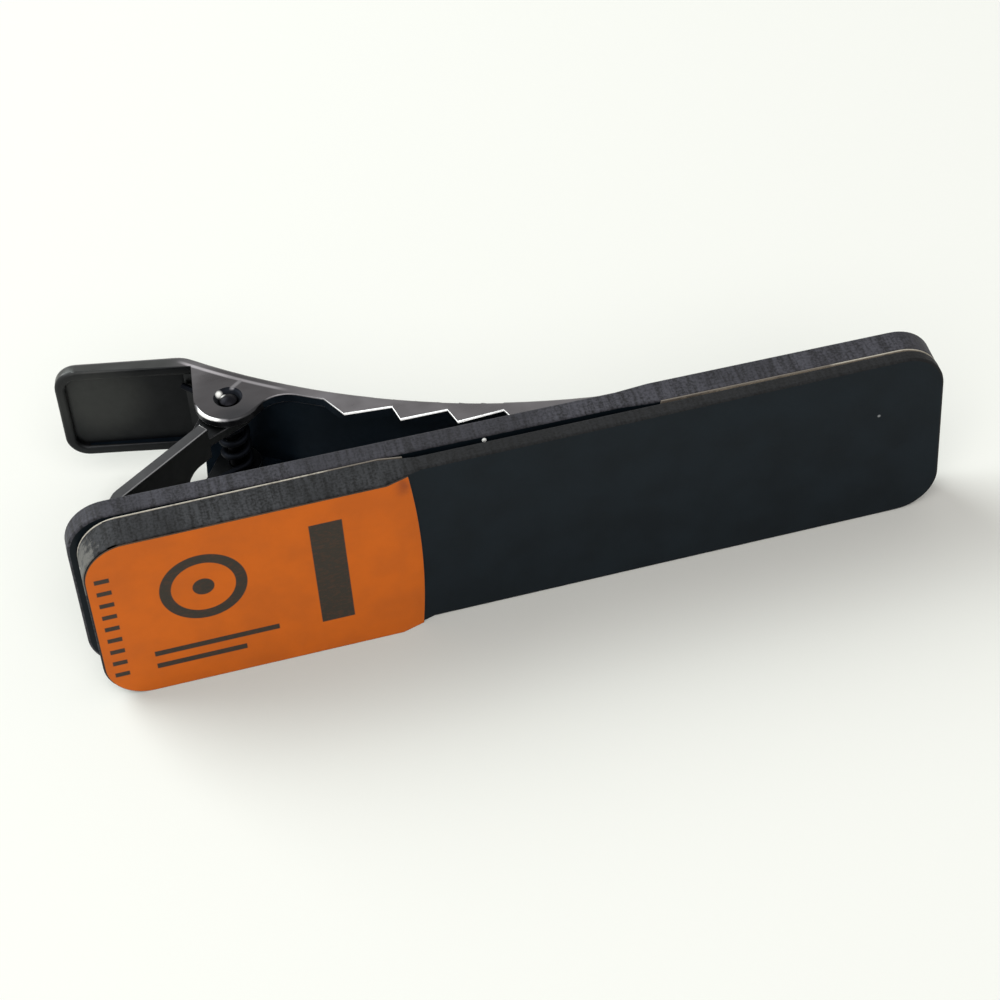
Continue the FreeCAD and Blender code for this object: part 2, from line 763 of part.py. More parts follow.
def make_return_spring():
    strut_contact = on_strut(-size["strut_gap"], strut_top + wire_radius + size["leg_clearance"])
    tab_floor = size["tab_height"] - sheet_thick
    tab_contact = on_tab(-size["tab_leg_reach"], tab_floor - wire_radius - size["leg_clearance"])
    first = leg_to(strut_contact, 1)
    last = leg_to(tab_contact, -1)
    while last < first:
        last += FULL_TURN
    last += FULL_TURN * size["coil_turns"]
    pitch = coil_length * FULL_TURN / (last - first)
    steps = int(math.ceil((last - first) / QUARTER_TURN))
    slope = pitch / (2 * math.pi * coil_radius)

    def coil_point(step):
        angle = first + (last - first) * step / steps
        return on_circle(FreeCAD.Vector(0, 0, coil_length * (step / steps - 0.5)), coil_radius, angle)

    def coil_way(step):
        angle = first + (last - first) * step / steps
        flat = step in (0, steps)
        way = direction(angle + QUARTER_TURN) + FreeCAD.Vector(0, 0, 0 if flat else slope)
        return way.normalize()

    strut_leg = (strut_contact - on_circle(point(0, 0), coil_radius, first)).Length
    strut_end = coil_point(0) - coil_way(0) * (strut_leg + size["strut_leg_past"])
    tab_leg = (tab_contact - on_circle(point(0, 0), coil_radius, last)).Length
    tab_end = coil_point(steps) + coil_way(steps) * tab_leg
    edges = [Part.LineSegment(strut_end, coil_point(0)).toShape()]
    for step in range(steps):
        pair = biarc(coil_point(step), coil_way(step), coil_point(step + 1), coil_way(step + 1))
        edges.extend(arc.toShape() for arc in pair)
    edges.append(Part.LineSegment(coil_point(steps), tab_end).toShape())
    path = Part.Wire(Part.__sortEdges__(edges))
    section = Part.Wire(Part.Circle(strut_end, coil_way(0), wire_radius).toShape())
    tube = path.makePipeShell([section], True, False)
    report_gap(path)

    item = doc.addObject("Part::Feature", "return_spring")
    item.Label = "return_spring"
    item.Shape = tube
    place_on_pivot(item)
    return item


SAMPLES_PER_EDGE = 12


def report_gap(path):
    """Print the least gap between the wire and itself, measured on points a turn apart."""
    points = []
    for edge in path.OrderedEdges:
        points.extend(edge.discretize(SAMPLES_PER_EDGE)[:-1])
    run = [0.0]
    for before, after in zip(points, points[1:]):
        run.append(run[-1] + before.distanceToPoint(after))
    apart = math.pi * coil_radius
    least = min(points[i].distanceToPoint(points[j])
                for i in range(len(points)) for j in range(i) if run[i] - run[j] > apart)
    print("return_spring least gap to itself: %.3f mm" % (least - size["wire_diameter"]))


return_spring = make_return_spring()

doc.recompute()


# Checks, then one file for each piece

pieces = [
    front_plate, rear_plate, front_label, front_inner_label, rear_inner_label, plate_glue,
    clip_glue, clip_base, pivot_pin, return_spring, toothed_jaw,
]
for item in doc.Objects:
    if "Invalid" in item.State or "Error" in item.State:
        raise RuntimeError("%s failed: %s" % (item.Label, item.State))
for piece in pieces:
    if piece.Shape.isNull() or not piece.Shape.isValid():
        raise RuntimeError("%s has no valid shape" % piece.Label)

os.makedirs("parts", exist_ok=True)
pivot = pivot_pin.Placement.Base
print("pivot at %.4f %.4f %.4f, rear strip leans %.4f degrees" % (pivot.x, pivot.y, pivot.z, rear_lean))
for piece in pieces:
    piece.Shape.exportStep(os.path.join("parts", piece.Label + ".step"))
    box = piece.Shape.optimalBoundingBox()
    print("%s: %d solid(s), %.3f mm3, x %.2f..%.2f y %.2f..%.2f z %.2f..%.2f" % (
        piece.Label, len(piece.Shape.Solids), piece.Shape.Volume,
        box.XMin, box.XMax, box.YMin, box.YMax, box.ZMin, box.ZMax))
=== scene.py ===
"""Looks of a tie clip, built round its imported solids.

The bar is two black strips glued back to back with paper labels, and a sprung pinch clip of black
nickelled sheet is glued to its back. Sizes are in millimetres, in the frame of the solids, and a
mesh becomes metres when its piece is made.
"""

import logging
import math
from dataclasses import dataclass
from enum import Enum, IntEnum
from typing import Callable, Sequence

import bmesh
import bpy
from bmesh.types import BMEdge, BMesh, BMFace, BMVert
from bpy.types import Material, Node, NodeInputs, NodeOutputs, NodeSocket, NodeTree, Object
from mathutils import Matrix, Vector


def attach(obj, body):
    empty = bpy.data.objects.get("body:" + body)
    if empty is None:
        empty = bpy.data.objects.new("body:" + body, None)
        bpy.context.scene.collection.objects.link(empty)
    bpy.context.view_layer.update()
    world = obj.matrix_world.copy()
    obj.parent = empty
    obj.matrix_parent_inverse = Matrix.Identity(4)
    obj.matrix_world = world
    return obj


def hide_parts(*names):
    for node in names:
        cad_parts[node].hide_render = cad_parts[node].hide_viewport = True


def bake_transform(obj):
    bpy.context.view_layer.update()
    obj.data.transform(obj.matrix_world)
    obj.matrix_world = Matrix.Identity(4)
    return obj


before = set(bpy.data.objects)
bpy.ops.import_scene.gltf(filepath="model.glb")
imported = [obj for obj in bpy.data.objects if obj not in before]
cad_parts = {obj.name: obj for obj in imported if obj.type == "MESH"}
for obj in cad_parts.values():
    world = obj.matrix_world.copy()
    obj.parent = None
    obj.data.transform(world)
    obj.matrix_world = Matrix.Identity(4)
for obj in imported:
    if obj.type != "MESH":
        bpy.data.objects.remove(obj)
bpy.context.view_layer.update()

log = logging.getLogger("tie_clip")

Colour = tuple[float, float, float]
Point = tuple[float, float, float]

MM = 0.001
PER_MM = 1.0 / MM
ORIGIN: Point = (0.0, 0.0, 0.0)

# Angles between faces: one that is an edge, one that shades as an edge, and one that is no edge
SHARP = math.radians(28.0)
SHADED_SHARP = math.radians(35.0)
FLAT = math.radians(0.4)

# Millimetres within which vertices become one, in new meshes and in copies of solids
MERGE = 0.002
SOLID_MERGE = 0.012

# Millimetres below which a copied solid's edge is no edge, and within which a vertex is in a place
SOLID_SLIVER = 0.001
IN_PLACE = 0.0001
NEAR = 0.02

# Cosines that tell whether a face is turned one way, roughly or squarely
FACING = 0.7
SQUARELY = 0.97


class Body(Enum):
    """The bodies that pieces ride on."""

    BAR = "bar"
    JAW = "jaw"


class Slot(Enum):
    """The record's material slots."""

    VINYL = "vinyl"
    FRONT_PAPER = "front_paper"
    INNER_PAPER = "inner_paper"
    GLUE = "glue"
    NICKEL = "black_nickel"
    PIN = "pin_steel"
    SPRING = "spring_steel"


class Layer(IntEnum):
    """The order of the finishes on strips, labels and the clip's base."""

    FACE = 0
    CUT = 1
    ARRIS = 2


class JawLayer(IntEnum):
    """The order of the finishes on the jaw."""

    OUTER = 0
    INNER = 1
    ARRIS = 2
    EDGE = 3
    DEEP = 4
    DISH = 5
    FOLD = 6


# Node trees


class NodeSheet:
    """A node tree with short calls to add nodes and join them."""

    def __init__(self, tree: NodeTree) -> None:
        """Keep the tree of a material, a group or a world."""
        self.tree = tree

    def add(self, kind: str, **settings: object) -> Node:
        """Add a shader node.

        Args:
            kind: The node's type name, without the ShaderNode that it starts with.
            settings: Properties to set on it.

        Returns:
            The node.
        """
        node = self.tree.nodes.new("ShaderNode" + kind)
        for name, value in settings.items():
            setattr(node, name, value)
        return node

    def feed(self, inputs: NodeInputs, sources: dict[object, object]) -> None:
        """Join inputs to source sockets, or set their values.

        Args:
            inputs: A node's inputs.
            sources: An output socket or a plain value for each input, by its name or number.
        """
        for key, source in sources.items():
            if isinstance(source, NodeSocket):
                self.tree.links.new(source, inputs[key])
            else:
                inputs[key].default_value = source

    def math(self, operation: str, first: object, second: object = 0.0) -> NodeSocket:
        """Add a Math node and give its result.

        Args:
            operation: The node's operation.
            first: First input, a socket or a number.
            second: Second input, a socket or a number.

        Returns:
            The result's socket.
        """
        node = self.add("Math", operation=operation)
        self.feed(node.inputs, {0: first, 1: second})
        return node.outputs[0]

    def vector(self, operation: str, first: object, second: object = ORIGIN) -> NodeOutputs:
        """Add a Vector Math node.

        Args:
            operation: The node's operation.
            first: First input, a socket or a vector.
            second: Second input, a socket or a vector.

        Returns:
            Its outputs, Vector and Value.
        """
        node = self.add("VectorMath", operation=operation)
        self.feed(node.inputs, {0: first, 1: second})
        return node.outputs

    def axes(self, place: NodeSocket) -> NodeOutputs:
        """The outputs X, Y and Z of a place.

        Args:
            place: The coordinates.

        Returns:
            The outputs.
        """
        node = self.add("SeparateXYZ")
        self.feed(node.inputs, {0: place})
        return node.outputs

    def ramp(
        self, value: object, low: float, high: float, start: object = 0.0, end: object = 1.0,
    ) -> NodeSocket:
        """Carry a value smoothly from one range to another.

        Args:
            value: The socket to read.
            low: Where the ramp starts.
            high: Where it ends.
            start: Result at the start.
            end: Result at the end.

        Returns:
            The result's socket.
        """
        node = self.add("MapRange", interpolation_type="SMOOTHSTEP")
        self.feed(node.inputs, {
            "Value": value, "From Min": low, "From Max": high, "To Min": start, "To Max": end,
        })
        return node.outputs["Result"]

    def blend(self, first: NodeSocket, second: NodeSocket, share: float) -> NodeSocket:
        """A weighted sum of two values, by the second one's share."""
        weighted = self.math("MULTIPLY", second, share)
        return self.math("ADD", self.math("MULTIPLY", first, 1.0 - share), weighted)

    def mix(self, factor: object, first: object, second: object) -> NodeSocket:
        """Mix two colours.

        Args:
            factor: Share of the second colour.
            first: A colour or a socket.
            second: A colour or a socket.

        Returns:
            The mixed colour's socket.
        """
        node = self.add("Mix", data_type="RGBA")
        self.feed(node.inputs, {"Factor": factor})
        numbers = [number for number, socket in enumerate(node.inputs) if socket.type == "RGBA"]
        for number, source in zip(numbers, (first, second)):
            self.feed(node.inputs, {number: source if isinstance(source, NodeSocket) else (*source, 1.0)})
        return next(socket for socket in node.outputs if socket.type == "RGBA")

    def noise(self, place: NodeSocket, scale: object, detail: object, roughness: float = 0.5) -> NodeSocket:
        """Add a Noise node.

        Args:
            place: The coordinates.
            scale: Scale of the noise.
            detail: Number of finer layers.
            roughness: Share of the finer layers.

        Returns:
            The noise's socket.
        """
        node = self.add("TexNoise")
        self.feed(node.inputs, {"Vector": place, "Scale": scale, "Detail": detail, "Roughness": roughness})
        return node.outputs["Fac"]

    def bump(self, height: NodeSocket, strength: float, depth: float) -> NodeSocket:
        """Turn a height into a normal.

        Args:
            height: Height from 0 to 1.
            strength: Strength of the effect.
            depth: Depth in millimetres.

        Returns:
            The normal's socket.
        """
        node = self.add("Bump")
        self.feed(node.inputs, {"Strength": strength, "Distance": depth * MM, "Height": height})
        return node.outputs["Normal"]

    def millimetres(self, offset: Point = ORIGIN) -> NodeSocket:
        """Object coordinates in millimetres.

        Args:
            offset: Point of the object that becomes the origin, in millimetres.

        Returns:
            The coordinates' socket.
        """
        node = self.add("Mapping", vector_type="TEXTURE")
        self.feed(node.inputs, {
            "Vector": self.add("TexCoord").outputs["Object"],
            "Location": tuple(value * MM for value in offset),
            "Scale": (MM, MM, MM),
        })
        return node.outputs["Vector"]


@dataclass(frozen=True)
class Effect:
    """An effect that several finishes share: a node group, its inputs' defaults and what draws it."""

    name: str
    output: str
    values: dict[str, object]
    draw: Callable[[NodeSheet, NodeOutputs], NodeSocket]

    def group(self) -> NodeTree:
        """The effect's node group, made at its first use.

        Returns:
            The group.
        """
        found = bpy.data.node_groups.get(self.name)
        if found:
            return found
        tree = bpy.data.node_groups.new(self.name, "ShaderNodeTree")
        for label, value in {"Vector": ORIGIN, **self.values}.items():
            kind = "NodeSocketFloat" if isinstance(value, float) else "NodeSocketVector"
            tree.interface.new_socket(label, in_out="INPUT", socket_type=kind).default_value = value
        tree.interface.new_socket(self.output, in_out="OUTPUT", socket_type="NodeSocketFloat")
        given = tree.nodes.new("NodeGroupInput").outputs
        made = tree.nodes.new("NodeGroupOutput").inputs
        sheet = NodeSheet(tree)
        sheet.feed(made, {self.output: self.draw(sheet, given)})
        return tree

    def on(self, sheet: NodeSheet, place: NodeSocket, **values: object) -> NodeSocket:
        """Place the effect in a material.

        Args:
            sheet: The material's node sheet.
            place: The coordinates in millimetres.
            values: Values for its other inputs.

        Returns:
            Its output's socket.
        """
        node = sheet.add("Group", node_tree=self.group())
        sheet.feed(node.inputs, {"Vector": place, **values})
        return node.outputs[self.output]


def draw_grain(sheet: NodeSheet, given: NodeOutputs) -> NodeSocket:
    """Even grain in every direction."""
    return sheet.ramp(sheet.noise(given["Vector"], given["Scale"], given["Detail"]), low=0.25, high=0.75)


def draw_streaks(sheet: NodeSheet, given: NodeOutputs) -> NodeSocket:
    """Lines left by a cut, drawn out along the short side of the stretch."""
    drawn = sheet.vector("MULTIPLY", given["Vector"], given["Stretch"])["Vector"]
    return sheet.ramp(sheet.noise(drawn, given["Scale"], detail=5.0, roughness=0.65), low=0.3, high=0.7)


def draw_wear(sheet: NodeSheet, given: NodeOutputs) -> NodeSocket:
    """Patches where a finish is rubbed through."""
    level = sheet.noise(given["Vector"], given["Scale"], detail=6.0, roughness=0.7)
    return sheet.ramp(sheet.math("ADD", level, given["Share"]), low=0.9, high=1.1)


def draw_glint_specks(sheet: NodeSheet, given: NodeOutputs) -> NodeSocket:
    """Sparse small specks: a cell's colour says whether it has one, and how large.

    Args:
        sheet: The group's node sheet.
        given: The group's inputs.

    Returns:
        The mask's socket.
    """
    cells = sheet.add("TexVoronoi", feature="F1")
    sheet.feed(cells.inputs, {"Vector": given["Vector"], "Scale": given["Scale"]})
    lots = sheet.add("SeparateColor")
    sheet.feed(lots.inputs, {0: cells.outputs["Color"]})
    chosen = sheet.math("LESS_THAN", lots.outputs[0], given["Share"])
    reach = sheet.math("MULTIPLY", given["Size"], lots.outputs[1])
    return sheet.math("MULTIPLY", chosen, sheet.math("LESS_THAN", cells.outputs["Distance"], reach))


GRAIN = Effect("Fine grain", "Value", {"Scale": 2.0, "Detail": 4.0}, draw_grain)
STREAKS = Effect("Cut streaks", "Value", {"Stretch": (1.0, 1.0, 1.0), "Scale": 3.0}, draw_streaks)
WEAR = Effect("Edge wear", "Mask", {"Scale": 1.0, "Share": 0.5}, draw_wear)
# A speck mask, used only for the painted specks of highlight on the sawn edge.
GLINT_SPECKS = Effect("Glint specks", "Mask", {"Scale": 1.0, "Size": 0.06, "Share": 0.1}, draw_glint_specks)


# Finishes


@dataclass(frozen=True)
class Patch:
    """A round patch of another colour: its middle, full inside a core and gone at its reach."""

    middle: Point
    core: float
    reach: float
    colour: Colour

    def mask(self, sheet: NodeSheet, place: NodeSocket) -> NodeSocket:
        """Where the patch is, on a material's coordinates in millimetres."""
        away = sheet.vector("DISTANCE", place, self.middle)["Value"]
        return sheet.ramp(away, self.core, self.reach, 1.0, 0.0)


@dataclass(frozen=True)
class CurvedPatch(Patch):
    """A patch kept to a line round an upright axis."""

    axis: tuple[float, float] = (0.0, 0.0)
    radius: float = 1.0
    half_width: float = 0.1
    core_share: float = 0.25

    def mask(self, sheet: NodeSheet, place: NodeSocket) -> NodeSocket:
        """Where the line is, inside its patch.

        Args:
            sheet: The material's node sheet.
            place: The coordinates in millimetres.

        Returns:
            The mask's socket.
        """
        flat = sheet.vector("MULTIPLY", place, (1.0, 1.0, 0.0))["Vector"]
        span = sheet.vector("DISTANCE", flat, (*self.axis, 0.0))["Value"]
        off = sheet.math("ABSOLUTE", sheet.math("SUBTRACT", span, self.radius))
        line = sheet.ramp(off, self.core_share * self.half_width, self.half_width, 1.0, 0.0)
        return sheet.math("MULTIPLY", line, super().mask(sheet, place))


@dataclass(frozen=True)
class Finish:
    """A finish: its name, main colour and roughness. Each kind of finish dresses its shader."""

    name: str
    colour: Colour
    roughness: float

    def material(self) -> Material:
        """The finish's material, made at its first use.

        Returns:
            The material.
        """
        found = bpy.data.materials.get(self.name)
        if found:
            return found
        material = bpy.data.materials.new(self.name)
        material.use_nodes = True
        shader = next(node for node in material.node_tree.nodes if node.type == "BSDF_PRINCIPLED").inputs
        sheet = NodeSheet(material.node_tree)
        sheet.feed(shader, {"Base Color": (*self.colour, 1.0), "Roughness": self.roughness})
        self.dress(sheet, shader)
        return material

    def dress(self, sheet: NodeSheet, shader: NodeInputs) -> None:
        """Give the shader its detail, from the material's node sheet."""
        raise NotImplementedError

    def shade(self, share: float) -> Colour:
        """The main colour, lighter or darker by a share."""
        return tuple(min(1.0, value * share) for value in self.colour)

    def rougher(
        self, sheet: NodeSheet, level: NodeSocket, more: float, low: float = 0.0, high: float = 1.0,
    ) -> NodeSocket:
        """Roughness that rises with a level from low to high."""
        return sheet.ramp(level, low, high, self.roughness, self.roughness + more)

    @staticmethod
    def patched(
        sheet: NodeSheet, place: NodeSocket, colour: NodeSocket, patches: Sequence[Patch],
    ) -> NodeSocket:
        """Lay patches on a colour, one after the other.

        Args:
            sheet: The material's node sheet.
            place: The coordinates in millimetres.
            colour: The colour under them.
            patches: The patches.

        Returns:
            The colour's socket.
        """
        for patch in patches:
            colour = sheet.mix(patch.mask(sheet, place), colour, patch.colour)
        return colour


@dataclass(frozen=True)
class VinylFace(Finish):
    """Pressed face of a strip: black, satin, with fine grooves round the disc's centre."""

    disc_centre: Point = ORIGIN
    groove_pitch: float = 0.16
    groove_share: float = 0.6
    mottle_gain: float = 1.4
    sheen: float = 0.1
    specks: tuple[Patch, ...] = ()

    def dress(self, sheet: NodeSheet, shader: NodeInputs) -> None:
        """Grooves, a faint mottle and specks of dust.

        Args:
            sheet: The material's node sheet.
            shader: The shader's inputs.
        """
        place = sheet.millimetres()
        mottle = GRAIN.on(sheet, place, Scale=0.35, Detail=3.0)
        grain = GRAIN.on(sheet, place, Scale=9.0, Detail=2.0)
        rings = sheet.add("TexWave", wave_type="RINGS", rings_direction="Y", wave_profile="SIN")
        rings_per_scale = 10.0 / math.pi
        sheet.feed(rings.inputs, {
            "Vector": sheet.millimetres(self.disc_centre),
            "Scale": 1.0 / (rings_per_scale * self.groove_pitch),
        })
        height = sheet.blend(grain, rings.outputs["Fac"], self.groove_share)
        colour = sheet.mix(mottle, self.colour, self.shade(self.mottle_gain))
        sheet.feed(shader, {
            "Base Color": self.patched(sheet, place, colour, self.specks),
            "Roughness": self.rougher(sheet, mottle, more=0.08),
            "Normal": sheet.bump(height, strength=0.12, depth=0.01),
            "Specular IOR Level": self.sheen,
        })


@dataclass(frozen=True)
class SawnVinyl(Finish):
    """Sawn and sanded edge of a strip, lighter along the saw's marks and scuffed at one corner, with
    painted specks of highlight there.
    """

    light: Colour = (0.066, 0.066, 0.081)
    fade_from: float = -12.0
    fade_to: float = 2.0
    fade_share: float = 1.0
    scuff: Colour = (0.14, 0.138, 0.132)
    scuff_place: Point = (-24.9, -0.4, 10.0)
    scuff_core: float = 0.8
    scuff_reach: float = 3.6
    scuff_share: float = 0.6
    # Colour of the painted specks of highlight at the scuffed corner.
    painted_glint: Colour = (0.62, 0.62, 0.60)
    sheen: float = 0.2

    def dress(self, sheet: NodeSheet, shader: NodeInputs) -> None:
        """Streaks across the thickness that fade along the bar, and the scuffed corner with its painted
        specks of highlight.

        Args:
            sheet: The material's node sheet.
            shader: The shader's inputs.
        """
        place = sheet.millimetres()
        streak = STREAKS.on(sheet, place, Stretch=(1.0, 0.09, 1.0), Scale=3.6)
        grain = GRAIN.on(sheet, place, Scale=6.0, Detail=5.0)
        broad = GRAIN.on(sheet, place, Scale=0.22, Detail=2.0)
        tone = sheet.blend(streak, grain, share=0.5)
        fade = sheet.ramp(sheet.axes(place)["X"], self.fade_from, self.fade_to, 1.0, self.fade_share)
        level = sheet.math("MULTIPLY", fade, sheet.ramp(broad, low=0.1, high=0.9, start=0.55))
        lightness = sheet.math("MULTIPLY", sheet.ramp(tone, low=0.1, high=0.9), level)
        away = sheet.vector("DISTANCE", place, self.scuff_place)["Value"]
        closeness = sheet.ramp(away, self.scuff_core, self.scuff_reach, self.scuff_share, 0.0)
        scuffed = WEAR.on(sheet, place, Scale=2.6, Share=closeness)
        # Painted highlight: bright specks near the scuffed corner stand in for small reflections of light.
        specks = GLINT_SPECKS.on(sheet, place, Scale=2.6, Size=0.3, Share=0.38)
        painted_glints = sheet.math("MULTIPLY", specks, sheet.ramp(closeness, low=0.3, high=0.55))
        colour = sheet.mix(scuffed, sheet.mix(lightness, self.colour, self.light), self.scuff)
        sheet.feed(shader, {
            "Base Color": sheet.mix(painted_glints, colour, self.painted_glint),
            "Roughness": self.rougher(sheet, tone, more=0.2, low=0.1, high=0.9),
            "Normal": sheet.bump(tone, strength=0.45, depth=0.05),
            "Specular IOR Level": self.sheen,
        })


@dataclass(frozen=True)
class PrintShape:
    """A shape of the label's print, by its middle on the label."""

    middle: tuple[float, float]

    def place(self, sheet: NodeSheet) -> NodeSocket:
        """Coordinates round the shape's middle."""
        return sheet.millimetres((self.middle[0], 0.0, self.middle[1]))

    def mask(self, sheet: NodeSheet, soft: float) -> NodeSocket:
        """Where the ink is, with an edge that is soft by a width."""
        raise NotImplementedError

    @staticmethod
    def within(sheet: NodeSheet, off: NodeSocket, half: float, soft: float) -> NodeSocket:
        """Where a distance to either side is less than a half size."""
        return sheet.ramp(sheet.math("ABSOLUTE", off), half - soft, half + soft, 1.0, 0.0)


@dataclass(frozen=True)
class PrintedBar(PrintShape):
    """A printed bar: its half sizes along the label and up it."""

    half_length: float
    half_height: float

    def mask(self, sheet: NodeSheet, soft: float) -> NodeSocket:
        """Where the ink is.

        Args:
            sheet: The material's node sheet.
            soft: Width of the ink's soft edge.

        Returns:
            The mask's socket.
        """
        axes = sheet.axes(self.place(sheet))
        in_length = self.within(sheet, axes["X"], self.half_length, soft)
        return sheet.math("MULTIPLY", in_length, self.within(sheet, axes["Z"], self.half_height, soft))


@dataclass(frozen=True)
class PrintedRing(PrintShape):
    """A printed ring, or a dot where its radius is zero."""

    radius: float
    half_width: float

    def mask(self, sheet: NodeSheet, soft: float) -> NodeSocket:
        """Where the ink is.

        Args:
            sheet: The material's node sheet.
            soft: Width of the ink's soft edge.

        Returns:
            The mask's socket.
        """
        flat = sheet.vector("MULTIPLY", self.place(sheet), (1.0, 0.0, 1.0))["Vector"]
        span = sheet.vector("LENGTH", flat)["Value"]
        return self.within(sheet, sheet.math("SUBTRACT", span, self.radius), self.half_width, soft)


def front_prints() -> tuple[PrintShape, ...]:
    """The label's print: a heavy bar, a ring with a dot, two rules and a column of ticks.

    Returns:
        The shapes.
    """
    ring_middle = (-18.6, 7.4)
    tick_foot, tick_pitch, tick_count = 1.9, 0.95, 9
    return (
        PrintedBar((-11.4, 6.3), 0.95, 3.9),
        PrintedRing(ring_middle, 2.15, 0.33),
        PrintedRing(ring_middle, 0.0, 0.62),
        PrintedBar((-18.4, 2.9), 3.6, 0.2),
        PrintedBar((-19.4, 1.9), 2.6, 0.2),
        *(PrintedBar((-24.0, tick_foot + tick_pitch * step), 0.42, 0.17) for step in range(tick_count)),
    )


@dataclass(frozen=True)
class LabelPaper(Finish):
    """Printed paper label: coloured stock with a dark geometric print, handled and a little stained."""

    ink: Colour = (0.040, 0.034, 0.027)
    stain: Colour = (0.20, 0.045, 0.018)
    stain_place: Point = (-6.7, -1.05, 11.5)
    worn: Colour = (0.68, 0.24, 0.07)
    thrown: Colour = (0.17, 0.105, 0.07)
    mottle_share: float = 0.86
    worn_share: float = 0.5
    ragged: float = 0.5
    soft: float = 0.035
    sheen: float = 0.15
    prints: tuple[PrintShape, ...] = ()

    def dress(self, sheet: NodeSheet, shader: NodeInputs) -> None:
        """Paper mottle, the print, a stain and fibres, and the weaker colour that it throws on others.

        Args:
            sheet: The material's node sheet.
            shader: The shader's inputs.
        """
        place = sheet.millimetres()
        mottle = GRAIN.on(sheet, place, Scale=0.5, Detail=5.0)
        fibre = STREAKS.on(sheet, place, Stretch=(0.5, 1.0, 1.0), Scale=7.0)
        rubbed = WEAR.on(sheet, place, Scale=3.0, Share=0.22)
        paper = sheet.mix(mottle, self.shade(self.mottle_share), self.colour)
        paper = sheet.mix(sheet.math("MULTIPLY", rubbed, self.worn_share), paper, self.worn)
        covered: object = 0.0
        for shape in self.prints:
            covered = sheet.math("MAXIMUM", covered, shape.mask(sheet, self.soft))
        density = sheet.ramp(fibre, low=0.0, high=0.6, start=0.96)
        inked = sheet.mix(sheet.math("MULTIPLY", covered, density), paper, self.ink)
        away = sheet.vector("DISTANCE", place, self.stain_place)["Value"]
        near = sheet.math("ADD", away, sheet.math("MULTIPLY", mottle, self.ragged))
        stained = sheet.mix(sheet.ramp(near, low=0.3, high=1.1, start=0.8, end=0.0), inked, self.stain)
        bounce = sheet.add("LightPath").outputs["Is Diffuse Ray"]
        sheet.feed(shader, {
            "Base Color": sheet.mix(bounce, stained, self.thrown),
            "Roughness": self.rougher(sheet, mottle, more=0.12),
            "Normal": sheet.bump(fibre, strength=0.25, depth=0.012),
            "Specular IOR Level": self.sheen,
        })


@dataclass(frozen=True)
class BarePaper(Finish):
    """Cut edge and plain side of a paper label."""

    dark: Colour = (0.12, 0.10, 0.085)
    dirty_until: float = 9.0
    clean_from: float = 13.0
    dirty_share: float = 0.64
    clean_share: float = 0.38
    fibre_share: float = 0.75
    dirt_cover: float = 0.85

    def dress(self, sheet: NodeSheet, shader: NodeInputs) -> None:
        """Fibres, and patches dirtied by the cut, most near the bar's middle.

        Args:
            sheet: The material's node sheet.
            shader: The shader's inputs.
        """
        place = sheet.millimetres()
        fibre = GRAIN.on(sheet, place, Scale=5.0, Detail=5.0)
        off_middle = sheet.math("ABSOLUTE", sheet.axes(place)["X"])
        share = sheet.ramp(
            off_middle, self.dirty_until, self.clean_from, self.dirty_share, self.clean_share)
        dirt = sheet.math("MULTIPLY", WEAR.on(sheet, place, Scale=1.5, Share=share), self.dirt_cover)
        clean = sheet.mix(fibre, self.shade(self.fibre_share), self.colour)
        sheet.feed(shader, {
            "Base Color": sheet.mix(dirt, clean, self.dark),
            "Roughness": self.rougher(sheet, fibre, more=0.15),
            "Normal": sheet.bump(fibre, strength=0.4, depth=0.02),
        })


@dataclass(frozen=True)
class ClearGlue(Finish):
    """Set glue, clear and a little yellow."""

    cloud_gain: float = 1.15
    refraction: float = 1.47
    clearness: float = 0.35

    def dress(self, sheet: NodeSheet, shader: NodeInputs) -> None:
        """Cloudy patches in a clear body.

        Args:
            sheet: The material's node sheet.
            shader: The shader's inputs.
        """
        cloud = GRAIN.on(sheet, sheet.millimetres(), Scale=1.2, Detail=4.0)
        sheet.feed(shader, {
            "Base Color": sheet.mix(cloud, self.colour, self.shade(self.cloud_gain)),
            "Roughness": self.rougher(sheet, cloud, more=0.2),
            "Normal": sheet.bump(cloud, strength=0.2, depth=0.05),
            "IOR": self.refraction,
            "Transmission Weight": self.clearness,
        })


@dataclass(frozen=True)
class Plating(Finish):
    """Plated or blackened metal, with a soft mottle, fine rubbing marks and wear to the bright metal."""

    bright: Colour = (0.55, 0.55, 0.56)
    wear_share: float = 0.1
    wear_scale: float = 1.4
    mottle_gain: float = 1.35
    stretch: Point = (1.0, 1.0, 1.0)
    streak_scale: float = 2.0
    patches: tuple[Patch, ...] = ()

    def dress(self, sheet: NodeSheet, shader: NodeInputs) -> None:
        """Mottle, rubbing marks and wear.

        Args:
            sheet: The material's node sheet.
            shader: The shader's inputs.
        """
        place = sheet.millimetres()
        mottle = GRAIN.on(sheet, place, Scale=0.45, Detail=4.0)
        marks = STREAKS.on(sheet, place, Stretch=self.stretch, Scale=self.streak_scale)
        worn = WEAR.on(sheet, place, Scale=self.wear_scale, Share=self.wear_share)
        plated = sheet.mix(mottle, self.colour, self.shade(self.mottle_gain))
        level = sheet.blend(mottle, marks, share=0.5)
        sheet.feed(shader, {
            "Base Color": self.patched(sheet, place, sheet.mix(worn, plated, self.bright), self.patches),
            "Roughness": self.rougher(sheet, level, more=0.16, low=0.1, high=0.9),
            "Normal": sheet.bump(level, strength=0.10, depth=0.02),
            "Metallic": 1.0,
        })


